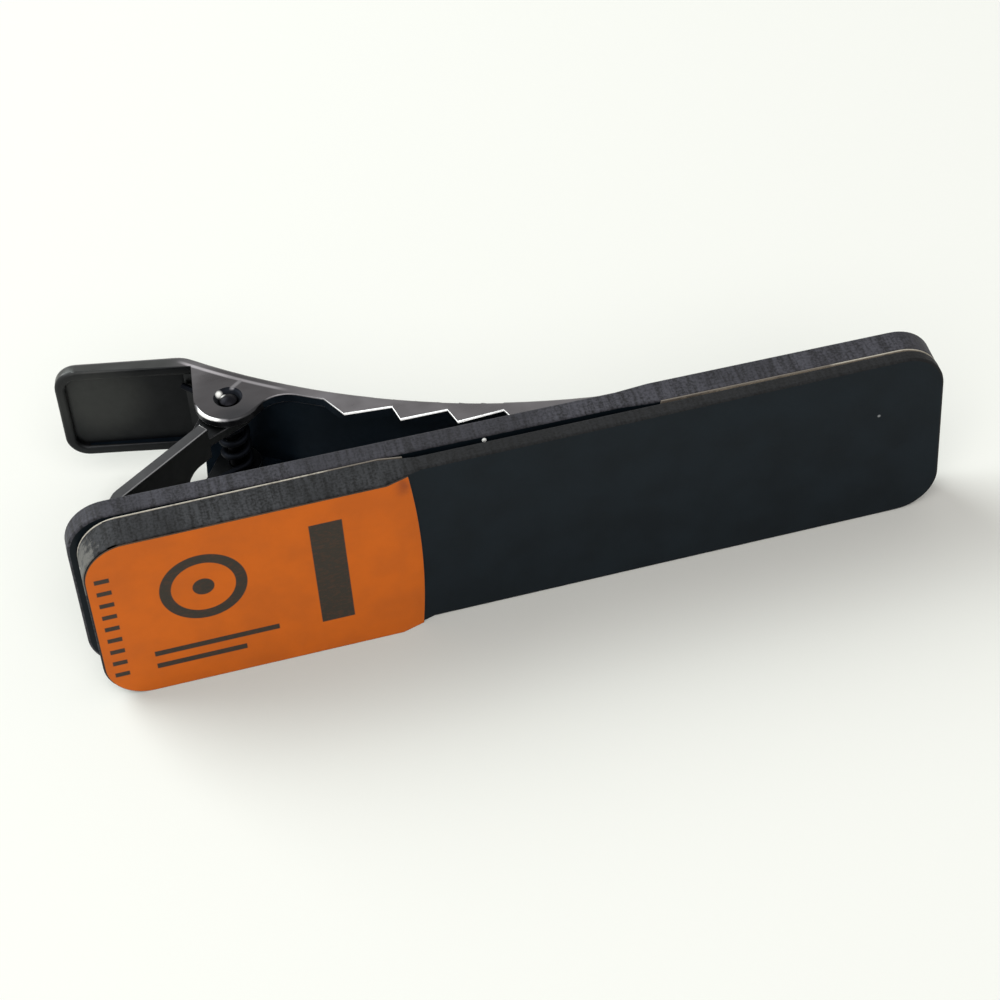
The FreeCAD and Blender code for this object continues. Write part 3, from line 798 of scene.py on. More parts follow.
@dataclass(frozen=True)
class FloorPaint(Finish):
    """Pale matt floor, which the camera sees fade to the white behind it far off."""

    fade_from: float = 110.0
    fade_to: float = 260.0
    sheen: float = 0.1

    def dress(self, sheet: NodeSheet, shader: NodeInputs) -> None:
        """The fade, by the distance from the object.

        Args:
            sheet: The material's node sheet.
            shader: The shader's inputs.
        """
        away = sheet.vector("LENGTH", sheet.millimetres())["Value"]
        far = sheet.ramp(away, self.fade_from, self.fade_to)
        seen = sheet.add("LightPath").outputs["Is Camera Ray"]
        sheet.feed(shader, {
            "Alpha": sheet.math("SUBTRACT", 1.0, sheet.math("MULTIPLY", far, seen)),
            "Specular IOR Level": self.sheen,
        })


# Meshes


def moved(verts: Sequence[BMVert], bm: BMesh, offset: Sequence[float]) -> None:
    """Move vertices of a mesh by an offset."""
    bmesh.ops.translate(bm, verts=list(verts), vec=Vector(offset))


def only(kind: type, geometry: Sequence[object]) -> list:
    """The elements of one kind, of an operator's result."""
    return [item for item in geometry if isinstance(item, kind)]


def raise_faces(bm: BMesh, faces: Sequence[BMFace], offset: Sequence[float]) -> list[BMFace]:
    """Extrude faces as a region and move what is new.

    Args:
        bm: The mesh.
        faces: The faces to extrude.
        offset: The way they go.

    Returns:
        The new faces at the end.
    """
    made = bmesh.ops.extrude_face_region(bm, geom=list(faces))["geom"]
    moved(only(BMVert, made), bm, offset)
    return only(BMFace, made)


def tidy(bm: BMesh) -> None:
    """Merge doubles, join flat neighbours and turn the faces outwards.

    Args:
        bm: The mesh, in millimetres.
    """
    bmesh.ops.remove_doubles(bm, verts=bm.verts[:], dist=MERGE)
    bmesh.ops.dissolve_limit(bm, angle_limit=FLAT, verts=bm.verts[:], edges=bm.edges[:])
    bmesh.ops.recalc_face_normals(bm, faces=bm.faces[:])


def copy_of(node: str) -> BMesh:
    """A merged copy of a solid's mesh, in millimetres.

    Args:
        node: The solid's name.

    Returns:
        The mesh.
    """
    bm = bmesh.new()
    bm.from_mesh(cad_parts[node].data)
    bmesh.ops.scale(bm, vec=(PER_MM,) * 3, verts=bm.verts[:])
    bmesh.ops.remove_doubles(bm, verts=bm.verts[:], dist=SOLID_MERGE)
    bmesh.ops.dissolve_degenerate(bm, edges=bm.edges[:], dist=SOLID_SLIVER)
    bmesh.ops.dissolve_limit(bm, angle_limit=FLAT, verts=bm.verts[:], edges=bm.edges[:])
    return bm


def weigh_edges(bm: BMesh, rule: Callable[[BMEdge], float] | None = None) -> None:
    """Set how much of the bevel's width each sharp outer edge takes.

    Args:
        bm: The mesh.
        rule: Gives an edge's share of the width, where not every edge takes the whole.
    """
    layer = bm.edges.layers.float.new("bevel_weight_edge")
    for edge in bm.edges:
        if edge.is_manifold and edge.calc_face_angle(0.0) > SHARP and edge.is_convex:
            edge[layer] = rule(edge) if rule else 1.0


@dataclass
class Softening:
    """A bevel on the weighted edges of a piece, with the shading led by its large faces."""

    width: float
    segments: int = 3
    layer: int = -1

    def apply(self, piece: Object) -> None:
        """Give a piece its bevel.

        Args:
            piece: The piece.
        """
        bevel = piece.modifiers.new("soft_edges", "BEVEL")
        bevel.limit_method = "WEIGHT"
        bevel.width = self.width * MM
        bevel.segments = self.segments
        bevel.profile = 0.5
        bevel.material = self.layer
        bevel.use_clamp_overlap = False
        normals = piece.modifiers.new("flat_faces_stay_flat", "WEIGHTED_NORMAL")
        normals.mode = "FACE_AREA"
        normals.keep_sharp = True


def make_piece(
    name: str, bm: BMesh, finishes: Sequence[Finish], softening: Softening | None = None,
) -> Object:
    """Make a piece of a mesh in millimetres.

    Args:
        name: The piece's name.
        bm: Its mesh, which is used up.
        finishes: Its finishes, in the order of the faces' material indices.
        softening: The bevel on its weighted edges.

    Returns:
        The piece, at the origin.
    """
    bmesh.ops.scale(bm, vec=(MM,) * 3, verts=bm.verts[:])
    for face in bm.faces:
        face.smooth = True
    mesh = bpy.data.meshes.new(name)
    bm.to_mesh(mesh)
    bm.free()
    for finish in finishes:
        mesh.materials.append(finish.material())
    mesh.set_sharp_from_angle(angle=SHADED_SHARP)
    piece = bpy.data.objects.new(name, mesh)
    bpy.context.scene.collection.objects.link(piece)
    if softening:
        softening.apply(piece)
    log.info("%s: %d faces, %d finishes", name, len(mesh.polygons), len(finishes))
    return piece


def settle(piece: Object, slot: Slot, node: str, body: Body = Body.BAR) -> None:
    """Attach a piece to the body that carries it, and hide the solid it stands for.

    Args:
        piece: The piece.
        slot: Its material slot; not used.
        node: The solid it stands for.
        body: The body that carries it.
    """
    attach(piece, body.value)
    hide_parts(node)


# The bar


@dataclass
class Strip:
    """One strip of the bar in its own frame, its land at -X and its middle at Y = 0."""

    name: str
    node: str
    sawn: Finish
    land_thick: float
    groove_thick: float
    label_length: float
    place: Matrix
    labelled_sides: tuple[int, ...]
    ramp_start: float
    ramp: float
    extra: float = 0.0
    taper: float = 0.0


@dataclass
class Bar:
    """The two strips, their labels and the glue between them."""

    length: float = 50.0
    width: float = 12.0
    corner: float = 2.5
    corner_steps: int = 14
    front_land_thick: float = 2.0
    front_groove_thick: float = 0.8
    front_label_length: float = 18.9
    rear_land_thick: float = 1.63
    rear_groove_thick: float = 1.29
    rear_label_length: float = 16.4
    rear_shift: float = 0.5
    label_radius: float = 50.0
    land_margin: float = 0.35
    front_ramp_start: float = -1.3
    front_ramp: float = 2.0
    rear_ramp: float = 1.9
    rear_extra: float = 0.49
    front_taper: float = 0.41
    disc_rise: float = 6.2
    arc_steps: int = 24
    paper: float = 0.09
    seat_glue: float = 0.03
    arris: float = 0.14
    covered_arris_share: float = 0.5
    front_trim: float = 0.1
    paper_arris: float = 0.03
    bead_middle: Point = (-1.72, 0.87, 11.83)
    bead_reach: Point = (0.135, 0.11, 0.115)
    bead_steps: tuple[int, int] = (24, 14)

    def seat(self) -> float:
        """Where the rear strip sits on the front label's end, along the bar."""
        return self.front_label_length - self.length / 2

    def rear_frame(self) -> Matrix:
        """The frame of the leaning rear strip, its origin at the seat on the front label's end.

        Returns:
            The frame.
        """
        left = self.front_land_thick / 2 + self.paper + self.seat_glue + self.rear_groove_thick / 2
        right = self.front_groove_thick / 2 + self.paper + self.seat_glue + self.rear_land_thick / 2
        far = self.length / 2 - self.rear_shift
        lean = math.atan2(right - left, far - self.seat())
        return Matrix.Translation((self.seat(), left, 0.0)) @ Matrix.Rotation(lean, 4, "Z")

    def behind(self, back: float) -> Matrix:
        """Place of a rear piece, turned end for end, by its distance behind the rear strip's middle."""
        spot = Matrix.Translation((-self.rear_shift - self.seat(), back, self.width))
        return self.rear_frame() @ spot @ Matrix.Rotation(math.pi, 4, "Y")

    def disc_centre(self, label_length: float) -> Vector:
        """Centre of the disc that a strip was cut from, in the strip's own frame."""
        return Vector((label_length - self.length / 2 - self.label_radius, 0.0, self.disc_rise))

    def edge_arc(self, bm: BMesh, label_length: float, margin: float) -> list[BMVert]:
        """Spin the round edge of the label or its land, from the bottom to the top.

        Args:
            bm: The mesh to draw in.
            label_length: Length of the label on the strip.
            margin: How far outside the label the edge lies.

        Returns:
            The vertices in order.
        """
        centre = self.disc_centre(label_length)
        radius = self.label_radius + margin
        low = math.asin(-centre.z / radius)
        high = math.asin((self.width - centre.z) / radius)
        start = bm.verts.new(centre + Vector((math.cos(low), 0.0, math.sin(low))) * radius)
        bmesh.ops.spin(
            bm, geom=[start], cent=centre, axis=(0.0, -1.0, 0.0), angle=high - low, steps=self.arc_steps)
        return sorted(bm.verts, key=lambda vert: vert.co.z)

    def round_corners(self, bm: BMesh, corners: Sequence[BMVert]) -> None:
        """Round the corners of a flat outline."""
        bmesh.ops.bevel(
            bm, geom=list(corners), offset=self.corner, affect="VERTICES", segments=self.corner_steps,
            profile=0.5, material=-1)

    def land_outline(
        self, bm: BMesh, label_length: float, margin: float, extra: float,
    ) -> tuple[list[BMVert], list[BMVert]]:
        """Draw the label end of a strip as one flat face.

        Args:
            bm: An empty mesh.
            label_length: Length of the label on the strip.
            margin: How far outside the label the edge lies.
            extra: How far the strip's end was left long.

        Returns:
            The two left corners and the arc's vertices.
        """
        arc = self.edge_arc(bm, label_length, margin)
        left = -self.length / 2 - extra
        corners = [bm.verts.new((left, 0.0, self.width)), bm.verts.new((left, 0.0, 0.0))]
        bm.faces.new([*arc, *corners])
        return corners, arc

    def strip_mesh(self, strip: Strip) -> BMesh:
        """Build a strip: a slab with its label land raised on both sides.

        Args:
            strip: The strip's sizes.

        Returns:
            The mesh, in its place.
        """
        bm = bmesh.new()
        corners, arc = self.land_outline(bm, strip.label_length, strip.ramp_start + strip.ramp, strip.extra)
        right = self.length / 2
        far = [bm.verts.new((right, 0.0, 0.0)), bm.verts.new((right, 0.0, self.width))]
        bm.faces.new([*far, *reversed(arc)])
        self.round_corners(bm, [*corners, *far])
        half = strip.groove_thick / 2
        rise = (strip.land_thick - strip.groove_thick) / 2
        moved(bm.verts, bm, (0.0, -half, 0.0))
        raise_faces(bm, bm.faces[:], (0.0, strip.groove_thick, 0.0))
        bmesh.ops.recalc_face_normals(bm, faces=bm.faces[:])
        edge_x = max(vert.co.x for vert in arc)
        for side in (-1, 1):
            land = [face for face in bm.faces
                    if face.normal.y * side > FACING and face.calc_center_median().x < edge_x]
            raised = raise_faces(bm, land, (0.0, side * rise, 0.0))
            bmesh.ops.delete(bm, geom=land, context="FACES_ONLY")
            self.draw_back(raised, strip)
        for vert in bm.verts:
            if abs(vert.co.y - half) < IN_PLACE:
                vert.co.y += strip.taper * (right - vert.co.x) / self.length
        tidy(bm)
        for face in bm.faces:
            face.material_index = Layer.FACE if abs(face.normal.y) > FACING else Layer.CUT
        weigh_edges(bm, lambda edge: self.arris_share(edge, strip))
        bmesh.ops.transform(bm, matrix=strip.place, verts=bm.verts[:])
        return bm

    def draw_back(self, raised: Sequence[BMFace], strip: Strip) -> None:
        """Draw the land's round edge back, so that it runs down to the groove area as a ramp.

        Args:
            raised: The land's faces.
            strip: The strip's sizes.
        """
        centre = self.disc_centre(strip.label_length)
        edge_radius = self.label_radius + strip.ramp_start
        for vert in {vert for face in raised for vert in face.verts}:
            rise = vert.co.z - centre.z
            if abs(math.hypot(vert.co.x - centre.x, rise) - edge_radius - strip.ramp) < NEAR:
                vert.co.x = centre.x + math.sqrt(edge_radius ** 2 - rise ** 2)

    def arris_share(self, edge: BMEdge, strip: Strip) -> float:
        """An edge under a label stays crisp, and the others are rubbed rounder.

        Args:
            edge: An edge in the strip's own frame.
            strip: The strip's sizes.

        Returns:
            The edge's share of the bevel's width.
        """
        for side in strip.labelled_sides:
            if all(abs(vert.co.y - side * strip.land_thick / 2) < NEAR / 2 for vert in edge.verts):
                return self.covered_arris_share
        return 1.0

    def label_mesh(
        self, label_length: float, place: Matrix, trim: float = 0.0, fall: float = 0.0, extra: float = 0.0,
    ) -> BMesh:
        """Build a paper label, printed side at -Y.

        Args:
            label_length: Length of the label on the strip.
            place: Its place, with the glued side at Y = 0.
            trim: How far the label is rubbed back from the strip's end and top.
            fall: How far its round end runs down the land's ramp, along Y.
            extra: How far the strip's end was left long.

        Returns:
            The mesh, in its place.
        """
        bm = bmesh.new()
        corners, arc = self.land_outline(bm, label_length, self.front_ramp_start if fall else 0.0, extra)
        if fall:
            self.bend_end(bm, arc, label_length, fall)
        self.round_corners(bm, corners)
        raise_faces(bm, bm.faces[:], (0.0, -self.paper, 0.0))
        rubbed = (1.0 - trim / label_length, 1.0, 1.0 - trim / self.width)
        inner_end = Matrix.Translation((self.length / 2 - label_length, 0.0, 0.0))
        bmesh.ops.scale(bm, vec=rubbed, space=inner_end, verts=bm.verts[:])
        tidy(bm)
        for face in bm.faces:
            face.material_index = Layer.FACE if face.normal.y < -FACING else Layer.CUT
        weigh_edges(bm)
        bmesh.ops.transform(bm, matrix=place, verts=bm.verts[:])
        return bm

    def bend_end(self, bm: BMesh, arc: Sequence[BMVert], label_length: float, fall: float) -> None:
        """Carry a label on from the top of its land's ramp to its round end.

        Args:
            bm: The label's flat mesh.
            arc: The vertices at the top of the ramp.
            label_length: Length of the label on the strip.
            fall: How far the end lies down the ramp, along Y.
        """
        centre = self.disc_centre(label_length)
        edges = [edge for edge in bm.edges if all(vert in arc for vert in edge.verts)]
        made = bmesh.ops.extrude_edge_only(bm, edges=edges)["geom"]
        for vert in only(BMVert, made):
            rise = vert.co.z - centre.z
            vert.co.x = centre.x + math.sqrt(self.label_radius ** 2 - rise ** 2)
            vert.co.y += fall

    def glue_mesh(self) -> BMesh:
        """Build the glue: the films and dabs of the solids, and a bead squeezed up the slot.

        Returns:
            The mesh.
        """
        bm = copy_of("plate_glue")
        place = Matrix.Translation(self.bead_middle) @ Matrix.Diagonal((*self.bead_reach, 1.0))
        around, along = self.bead_steps
        bmesh.ops.create_uvsphere(bm, u_segments=around, v_segments=along, radius=1.0, matrix=place)
        return bm

    def strips(self) -> list[Strip]:
        """The front strip and the rear one, which is turned end for end.

        Returns:
            The strips.
        """
        front_sawn = SawnVinyl(
            "vinyl_sawn_edge_front", (0.007, 0.0073, 0.008), 0.5, light=(0.054, 0.056, 0.062),
            fade_share=0.3, sheen=0.12)
        rear_sawn = SawnVinyl("vinyl_sawn_edge_rear", (0.009, 0.009, 0.012), 0.5, scuff_reach=1.5)
        return [
            Strip("front_strip", "front_plate", front_sawn, self.front_land_thick, self.front_groove_thick,
                  self.front_label_length, Matrix.Identity(4), (-1, 1), self.front_ramp_start,
                  self.front_ramp, taper=self.front_taper),
            Strip("rear_strip", "rear_plate", rear_sawn, self.rear_land_thick, self.rear_groove_thick,
                  self.rear_label_length, self.behind(0.0), (-1,), self.land_margin, self.rear_ramp,
                  extra=self.rear_extra),
        ]

    def build_strip(self, strip: Strip) -> None:
        """Make a strip and dress it, its grooves round the centre of its disc.

        Args:
            strip: The strip's sizes and sawn finish.
        """
        centre = strip.place @ self.disc_centre(strip.label_length)
        speck = Patch((21.12, -0.4, 8.09), 0.03, 0.13, (0.26, 0.27, 0.28))
        face = VinylFace("vinyl_face_" + strip.name, (0.0050, 0.0086, 0.0122), 0.3,
                         disc_centre=tuple(centre), specks=(speck,))
        softening = Softening(self.arris, 3, Layer.CUT)
        piece = make_piece(strip.name, self.strip_mesh(strip), [face, strip.sawn], softening)
        settle(piece, Slot.VINYL, strip.node)

    def build_labels(self) -> None:
        """Make the printed label and the two inner ones, and dress them."""
        printed = LabelPaper("label_front_paper", (0.63, 0.133, 0.010), 0.55, prints=front_prints())
        printed_edge = BarePaper("label_cut_edge", (0.085, 0.045, 0.022), 0.75, dark=(0.02, 0.014, 0.01))
        plain = BarePaper("inner_label_paper", (0.40, 0.34, 0.27), 0.7)
        front_edge = BarePaper("paper_cut_edge_front", (0.60, 0.56, 0.49), 0.75)
        rear_edge = BarePaper("paper_cut_edge_rear", (0.52, 0.48, 0.41), 0.75, dirty_until=16.5,
                              clean_from=20.5, dirty_share=0.70, clean_share=0.32)
        half = self.front_land_thick / 2
        rise = half - self.front_groove_thick / 2
        slope_share = -self.front_ramp_start / self.front_ramp
        foot_taper = self.front_taper * (self.length - self.front_label_length) / self.length
        before = Matrix.Translation((0.0, -half, 0.0))
        after = Matrix.Translation((0.0, half + self.paper, 0.0))
        front_mesh = self.label_mesh(self.front_label_length, before, self.front_trim, rise * slope_share)
        inner_mesh = self.label_mesh(self.front_label_length, after, fall=(foot_taper - rise) * slope_share)
        rear_mesh = self.label_mesh(
            self.rear_label_length, self.behind(-self.rear_land_thick / 2), extra=self.rear_extra)
        softening = Softening(self.paper_arris, 2, Layer.CUT)
        for name, node, slot, mesh, finishes in (
            ("front_label_paper", "front_label", Slot.FRONT_PAPER, front_mesh, (printed, printed_edge)),
            ("front_inner_paper", "front_inner_label", Slot.INNER_PAPER, inner_mesh, (plain, front_edge)),
            ("rear_inner_paper", "rear_inner_label", Slot.INNER_PAPER, rear_mesh, (plain, rear_edge)),
        ):
            settle(make_piece(name, mesh, finishes, softening), slot, node)

    def build(self) -> None:
        """Make the bar's pieces and dress them."""
        for strip in self.strips():
            self.build_strip(strip)
        self.build_labels()
        # Glue whose near-white colour is partly painted highlight, so that the bead squeezed up the slot
        # shows bright.
        glue = ClearGlue("glue_between_strips_painted_highlight", (0.94, 0.93, 0.90), 0.1)
        settle(make_piece("strip_glue", self.glue_mesh(), [glue]), Slot.GLUE, "plate_glue")


# The clip


@dataclass
class PinchClip:
    """The glued base, its pin, the return spring and the toothed jaw."""

    pivot: Point = (-14.6131, 11.5706, 6.0)
    lean: float = math.radians(-0.8051)
    width: float = 6.7
    sheet: float = 0.65
    tab_tilt: float = math.radians(11.5)
    tab_height: float = 3.99
    tab_rim_depth: float = 1.05
    tab_length: float = 10.61
    tab_start: float = -1.9
    tab_end_margin: float = 0.5
    jaw_length: float = 25.53
    jaw_end_margin: float = 0.25
    teeth_start: float = 5.0
    tooth_share: float = 0.75
    steep_share: float = 0.25
    steep_turn: float = math.radians(28.0)
    back_centre: tuple[float, float] = (26.6435, 35.9003)
    back_radius: float = 42.45
    back_round: float = 0.45
    crease_depth: float = 0.67
    crease_half_width: float = 0.16
    rim_round: float = 0.22
    rim_steps: int = 4
    cut_round: float = 0.06
    ear_round: float = 0.14
    plain_share: float = 0.45
    ear_radius: float = 2.0
    ear_margin: float = 0.1
    ear_top: float = 1.0
    rubbed_ear_top: float = 0.6
    dish_radius: float = 0.88
    wall_margin: float = 0.03
    bevel_margin: float = 0.05
    pin_radius: float = 0.52
    pin_dome: float = 0.22
    pin_dome_steps: int = 6
    pin_half: float = 3.37
    pin_steps: int = 40
    wire_radius: float = 0.2
    coil_radius: float = 0.77
    coil_start: float = math.radians(-68.713)
    coil_sweep: float = math.radians(1191.337)
    coil_length: float = 3.3
    coil_steps: int = 108
    wire_sides: int = 14
    strut_leg: float = 4.058
    strut_angle: float = math.radians(36.0)
    strut_facing: float = 0.95
    tab_leg: float = 4.259

    def on_pivot(self) -> Matrix:
        """The clip's frame: its origin half-way along the pin, its X along the rear strip."""
        return Matrix.Translation(self.pivot) @ Matrix.Rotation(self.lean, 4, "Z")

    def from_pin(self, along: float, back: float, drop: float = 0.0) -> Point:
        """A place on the clip's upper side, or below it by a drop, by its distances from the pin."""
        x, y, middle = self.pivot
        return (x + along, y + back, middle + self.width / 2 - drop)

    def streak(self) -> tuple[Patch, ...]:
        """A light mark that runs from the pin to the crease, as a row of small patches.

        Returns:
            The patches.
        """
        start, step_along, step_back, count = 0.43, 0.13, 0.098, 7
        tone = (0.18, 0.175, 0.185)
        return tuple(
            Patch(self.from_pin(step_along * step, start + step_back * step), 0.05, 0.19, tone)
            for step in range(1, count + 1))

    def crease(self) -> tuple[CurvedPatch, ...]:
        """A painted highlight: a light line inside the fold between the jaw's back and its side, in two
        lengths.

        Returns:
            The patches.
        """
        line = {
            "axis": tuple((self.on_pivot() @ Vector((*self.back_centre, 0.0)))[:2]),
            "radius": self.back_radius + self.crease_depth,
            "half_width": self.crease_half_width,
        }
        return (
            CurvedPatch(self.from_pin(-1.1, 2.3), 1.2, 2.2, (0.40, 0.384, 0.408), **line),
            CurvedPatch(self.from_pin(2.0, 1.2), 1.2, 2.6, (0.26, 0.2496, 0.2652), **line),
        )

    def jaw_finishes(self) -> dict[JawLayer, Finish]:
        """The jaw's finishes, with patches of other tones, painted highlights and painted shade.

        Returns:
            The finishes.
        """
        place = self.from_pin
        ear = Patch(place(0.3, -0.2), 1.9, 4.2, (0.068, 0.065, 0.069))
        # Painted shade at the foot of the ear.
        painted_shade_ear_foot = Patch(place(0.3, -2.3), 0.6, 2.2, (0.042, 0.042, 0.046))
        # Painted shade over the top of the thumb tab.
        painted_shade_tab_top = Patch(place(-6.8, 4.6), 3.6, 6.2, (0.056, 0.058, 0.058))
        # Painted highlight at the thumb tab's top corner.
        painted_tab_corner_highlight = Patch(place(-9.2869, 5.1294), 0.1, 0.45, (0.50, 0.50, 0.50))
        tray = Patch(place(-7.1, 4.97, 2.45), 1.2, 3.8, (0.046, 0.047, 0.046))
        # Painted highlight on the dish's wall beside the pin.
        painted_ledge_highlight = Patch(place(-0.42, 0.48, 0.1), 0.12, 0.32, (0.95, 0.95, 0.94))
        return {
            JawLayer.OUTER: Plating(
                "black_nickel_outer", (0.120, 0.115, 0.122), 0.26, stretch=(0.25, 1.0, 1.0),
                patches=(ear, painted_shade_ear_foot, painted_shade_tab_top, painted_tab_corner_highlight, *self.crease(), *self.streak())),
            JawLayer.INNER: Plating(
                "black_nickel_inner", (0.018, 0.0188, 0.020), 0.38, wear_share=0.0, patches=(tray,)),
            JawLayer.ARRIS: self.arris_finish(),
            # Painted shade on the ear's cut edges.
            JawLayer.EDGE: Plating("black_nickel_ear_edge_painted_shade", (0.030, 0.030, 0.034), 0.34, wear_share=0.0),
            # Painted shade inside the channel and on cut faces turned to the bar.
            JawLayer.DEEP: Plating("black_nickel_deep_painted_shade", (0.014, 0.022, 0.033), 0.42, wear_share=0.0),
            # Painted shade in the dish round the pin, which also carries its painted highlight.
            JawLayer.DISH: Plating(
                "black_nickel_dish_painted_shade", (0.008, 0.009, 0.012), 0.45, wear_share=0.0,
                patches=(*self.streak(), painted_ledge_highlight)),
            # Painted shade on the fold between the thumb tab's top and its back.
            JawLayer.FOLD: Plating("black_nickel_fold_painted_shade", (0.075, 0.073, 0.078), 0.28),
        }

    def arris_finish(self) -> Finish:
        """The worn arrises, with painted highlights on the ear's end and the teeth, a duller one on the
        strut, and painted shade under the ear.

        Returns:
            The finish.
        """
        place = self.from_pin
        # Painted highlight along the strut's arris, less bright than on the ear.
        strut = Patch(place(-4.2, -3.8), 3.2, 4.6, (0.22, 0.22, 0.23))
        # Painted shade on the arris under the ear.
        handled = Patch(place(1.0, -1.8), 1.25, 1.6, (0.040, 0.040, 0.043))
        # Painted highlight on the ear's lower end.
        rubbed = Patch(place(-1.5, -1.25), 0.55, 1.05, (0.90, 0.90, 0.90))
        # Painted highlight along the teeth's arrises.
        painted_teeth_highlight = Patch(place(13.0, -5.5), 7.6, 9.0, (0.62, 0.62, 0.63))
        return Plating("black_nickel_worn_arris_painted_highlights", (0.12, 0.117, 0.125), 0.24, wear_share=0.3,
                       patches=(strut, handled, rubbed, painted_teeth_highlight))

    def tab_place(self, point: Vector) -> tuple[float, float]:
        """A point of the clip's frame by its distance along the thumb tab and its height."""
        cosine, sine = math.cos(self.tab_tilt), math.sin(self.tab_tilt)
        return point.x * cosine - point.y * sine, point.x * sine + point.y * cosine

    def jaw_mesh(self) -> BMesh:
        """Build the jaw: a merged copy of its solid with faces told apart and edges weighted.

        Returns:
            The mesh.
        """
        bm = copy_of("toothed_jaw")
        bmesh.ops.transform(bm, matrix=self.on_pivot().inverted(), verts=bm.verts[:])
        bm.normal_update()
        rim = [edge for edge in bm.edges
               if edge.is_manifold and edge.calc_face_angle(0.0) > SHARP and self.is_rim(edge)]
        bmesh.ops.bevel(
            bm, geom=rim, offset=self.rim_round, affect="EDGES", segments=self.rim_steps, profile=0.5,
            material=-1, clamp_overlap=False)
        bm.normal_update()
        for face in bm.faces:
            face.material_index = self.jaw_layer(face)
        weigh_edges(bm, self.jaw_arris_share)
        bmesh.ops.transform(bm, matrix=self.on_pivot(), verts=bm.verts[:])
        return bm

    def rim_height(self) -> float:
        """Height of the thumb tab's rim above the pin, square to the tab."""
        return self.tab_height - self.tab_rim_depth

    def is_rim(self, edge: BMEdge) -> bool:
        """Whether an edge is on the thumb tab's rim."""
        places = [self.tab_place(vert.co) for vert in edge.verts]
        return all(abs(height - self.rim_height()) < self.wall_margin and along < self.tab_start
                   for along, height in places)

    def jaw_layer(self, face: BMFace) -> JawLayer:
        """Tell a jaw face's finish by where the face is and how it is turned.

        Args:
            face: A face of the jaw, in the clip's frame.

        Returns:
            Its finish.
        """
        edgewise, turned_up, tray_turn, fold_turn = 0.2, 0.4, 0.35, 0.1
        slant_low, slant_high = 0.55, 0.985
        middle, normal = face.calc_center_median(), face.normal
        along, height = self.tab_place(middle)
        outward, facing = -self.tab_place(normal)[0], self.tab_place(normal)[1]
        reach = math.hypot(middle.x, middle.y)
        sideways = abs(normal.z)
        between_walls = abs(middle.z) < self.width / 2 - self.sheet + self.wall_margin
        on_tab = along < self.tab_start
        if reach < self.dish_radius and sideways < SQUARELY:
            return JawLayer.DISH
        if on_tab:
            below_rim = height < self.rim_height() + self.rim_round
            in_tray = facing < tray_turn and below_rim and sideways < SQUARELY
            end_wall = along < self.tab_end_margin - self.tab_length and outward > turned_up
            if in_tray or (between_walls and facing < turned_up and not end_wall):
                return JawLayer.INNER
        faces_bar = not on_tab and normal.y < turned_up and middle.x < self.jaw_length - self.jaw_end_margin
        if faces_bar and between_walls:
            return JawLayer.DEEP
        if sideways < edgewise and reach < self.ear_radius + self.ear_margin and middle.y < self.ear_top:
            return JawLayer.EDGE
        if faces_bar and sideways < edgewise:
            return JawLayer.DEEP
        if on_tab and slant_low < sideways < slant_high and facing > fold_turn:
            return JawLayer.FOLD
        return JawLayer.OUTER

    def jaw_arris_share(self, edge: BMEdge) -> float:
        """The ear's end and the teeth are rubbed most, and edges that are round already stay so.

        Args:
            edge: An edge of the jaw, in the clip's frame.

        Returns:
            Its share of the bevel's width.
        """
        spots = [vert.co for vert in edge.verts]
        reaches = [math.hypot(spot.x, spot.y) for spot in spots]
        tab_spots = [self.tab_place(spot) for spot in spots]
        depths = [math.hypot(spot.x - self.back_centre[0], spot.y - self.back_centre[1]) - self.back_radius
                  for spot in spots]
        rim_top = self.rim_height() + self.rim_round + self.bevel_margin
        in_dish = max(reaches) < self.dish_radius + NEAR
        on_rim = all(along < self.tab_start and height < rim_top for along, height in tab_spots)
        on_back = max(depths) < self.back_round or all(
            height > self.tab_height - self.back_round for _, height in tab_spots)
        if in_dish or on_rim or on_back:
            return 0.0
        if all(spot.x > self.teeth_start for spot in spots):
            if any(abs(abs(spot.z) - self.width / 2) >= NEAR for spot in spots):
                return 0.0
            return self.steep_share if self.is_steep(spots) else self.tooth_share
        on_ear = all(abs(reach - self.ear_radius) < self.bevel_margin and spot.y < self.rubbed_ear_top
                     for reach, spot in zip(reaches, spots))
        return 1.0 if on_ear else self.plain_share

    def is_steep(self, spots: Sequence[Vector]) -> bool:
        """Whether a tooth's edge is its short, steep flank, turned far from the line of the jaw's back.

        Args:
            spots: The edge's two ends, in the clip's frame.

        Returns:
            Whether it is steep.
        """
        way = (spots[1] - spots[0]).normalized()
        outward = (spots[0] + spots[1]) / 2 - Vector((*self.back_centre, 0.0))
        outward.z = 0.0
        return abs(way.dot(outward.normalized())) > math.sin(self.steep_turn)

    def base_mesh(self) -> BMesh:
        """Build the base: a merged copy of its solid with the sheet's cut edges told apart.

        Returns:
            The mesh.
        """
        bm = copy_of("clip_base")
        bmesh.ops.transform(bm, matrix=self.on_pivot().inverted(), verts=bm.verts[:])
        bm.normal_update()
        outer = self.width / 2 - self.bevel_margin
        for face in bm.faces:
            cut = abs(face.normal.z) > FACING and abs(face.calc_center_median().z) > outer
            face.material_index = Layer.CUT if cut else Layer.FACE
        weigh_edges(bm, self.base_arris_share)
        bmesh.ops.transform(bm, matrix=self.on_pivot(), verts=bm.verts[:])
        return bm

    def base_arris_share(self, edge: BMEdge) -> float:
        """The base's edges are rubbed, apart from those of the strut's outer face."""
        outward = Vector((-math.sin(self.strut_angle), math.cos(self.strut_angle), 0.0))
        return 0.0 if any(face.normal.dot(outward) > self.strut_facing for face in edge.link_faces) else 1.0

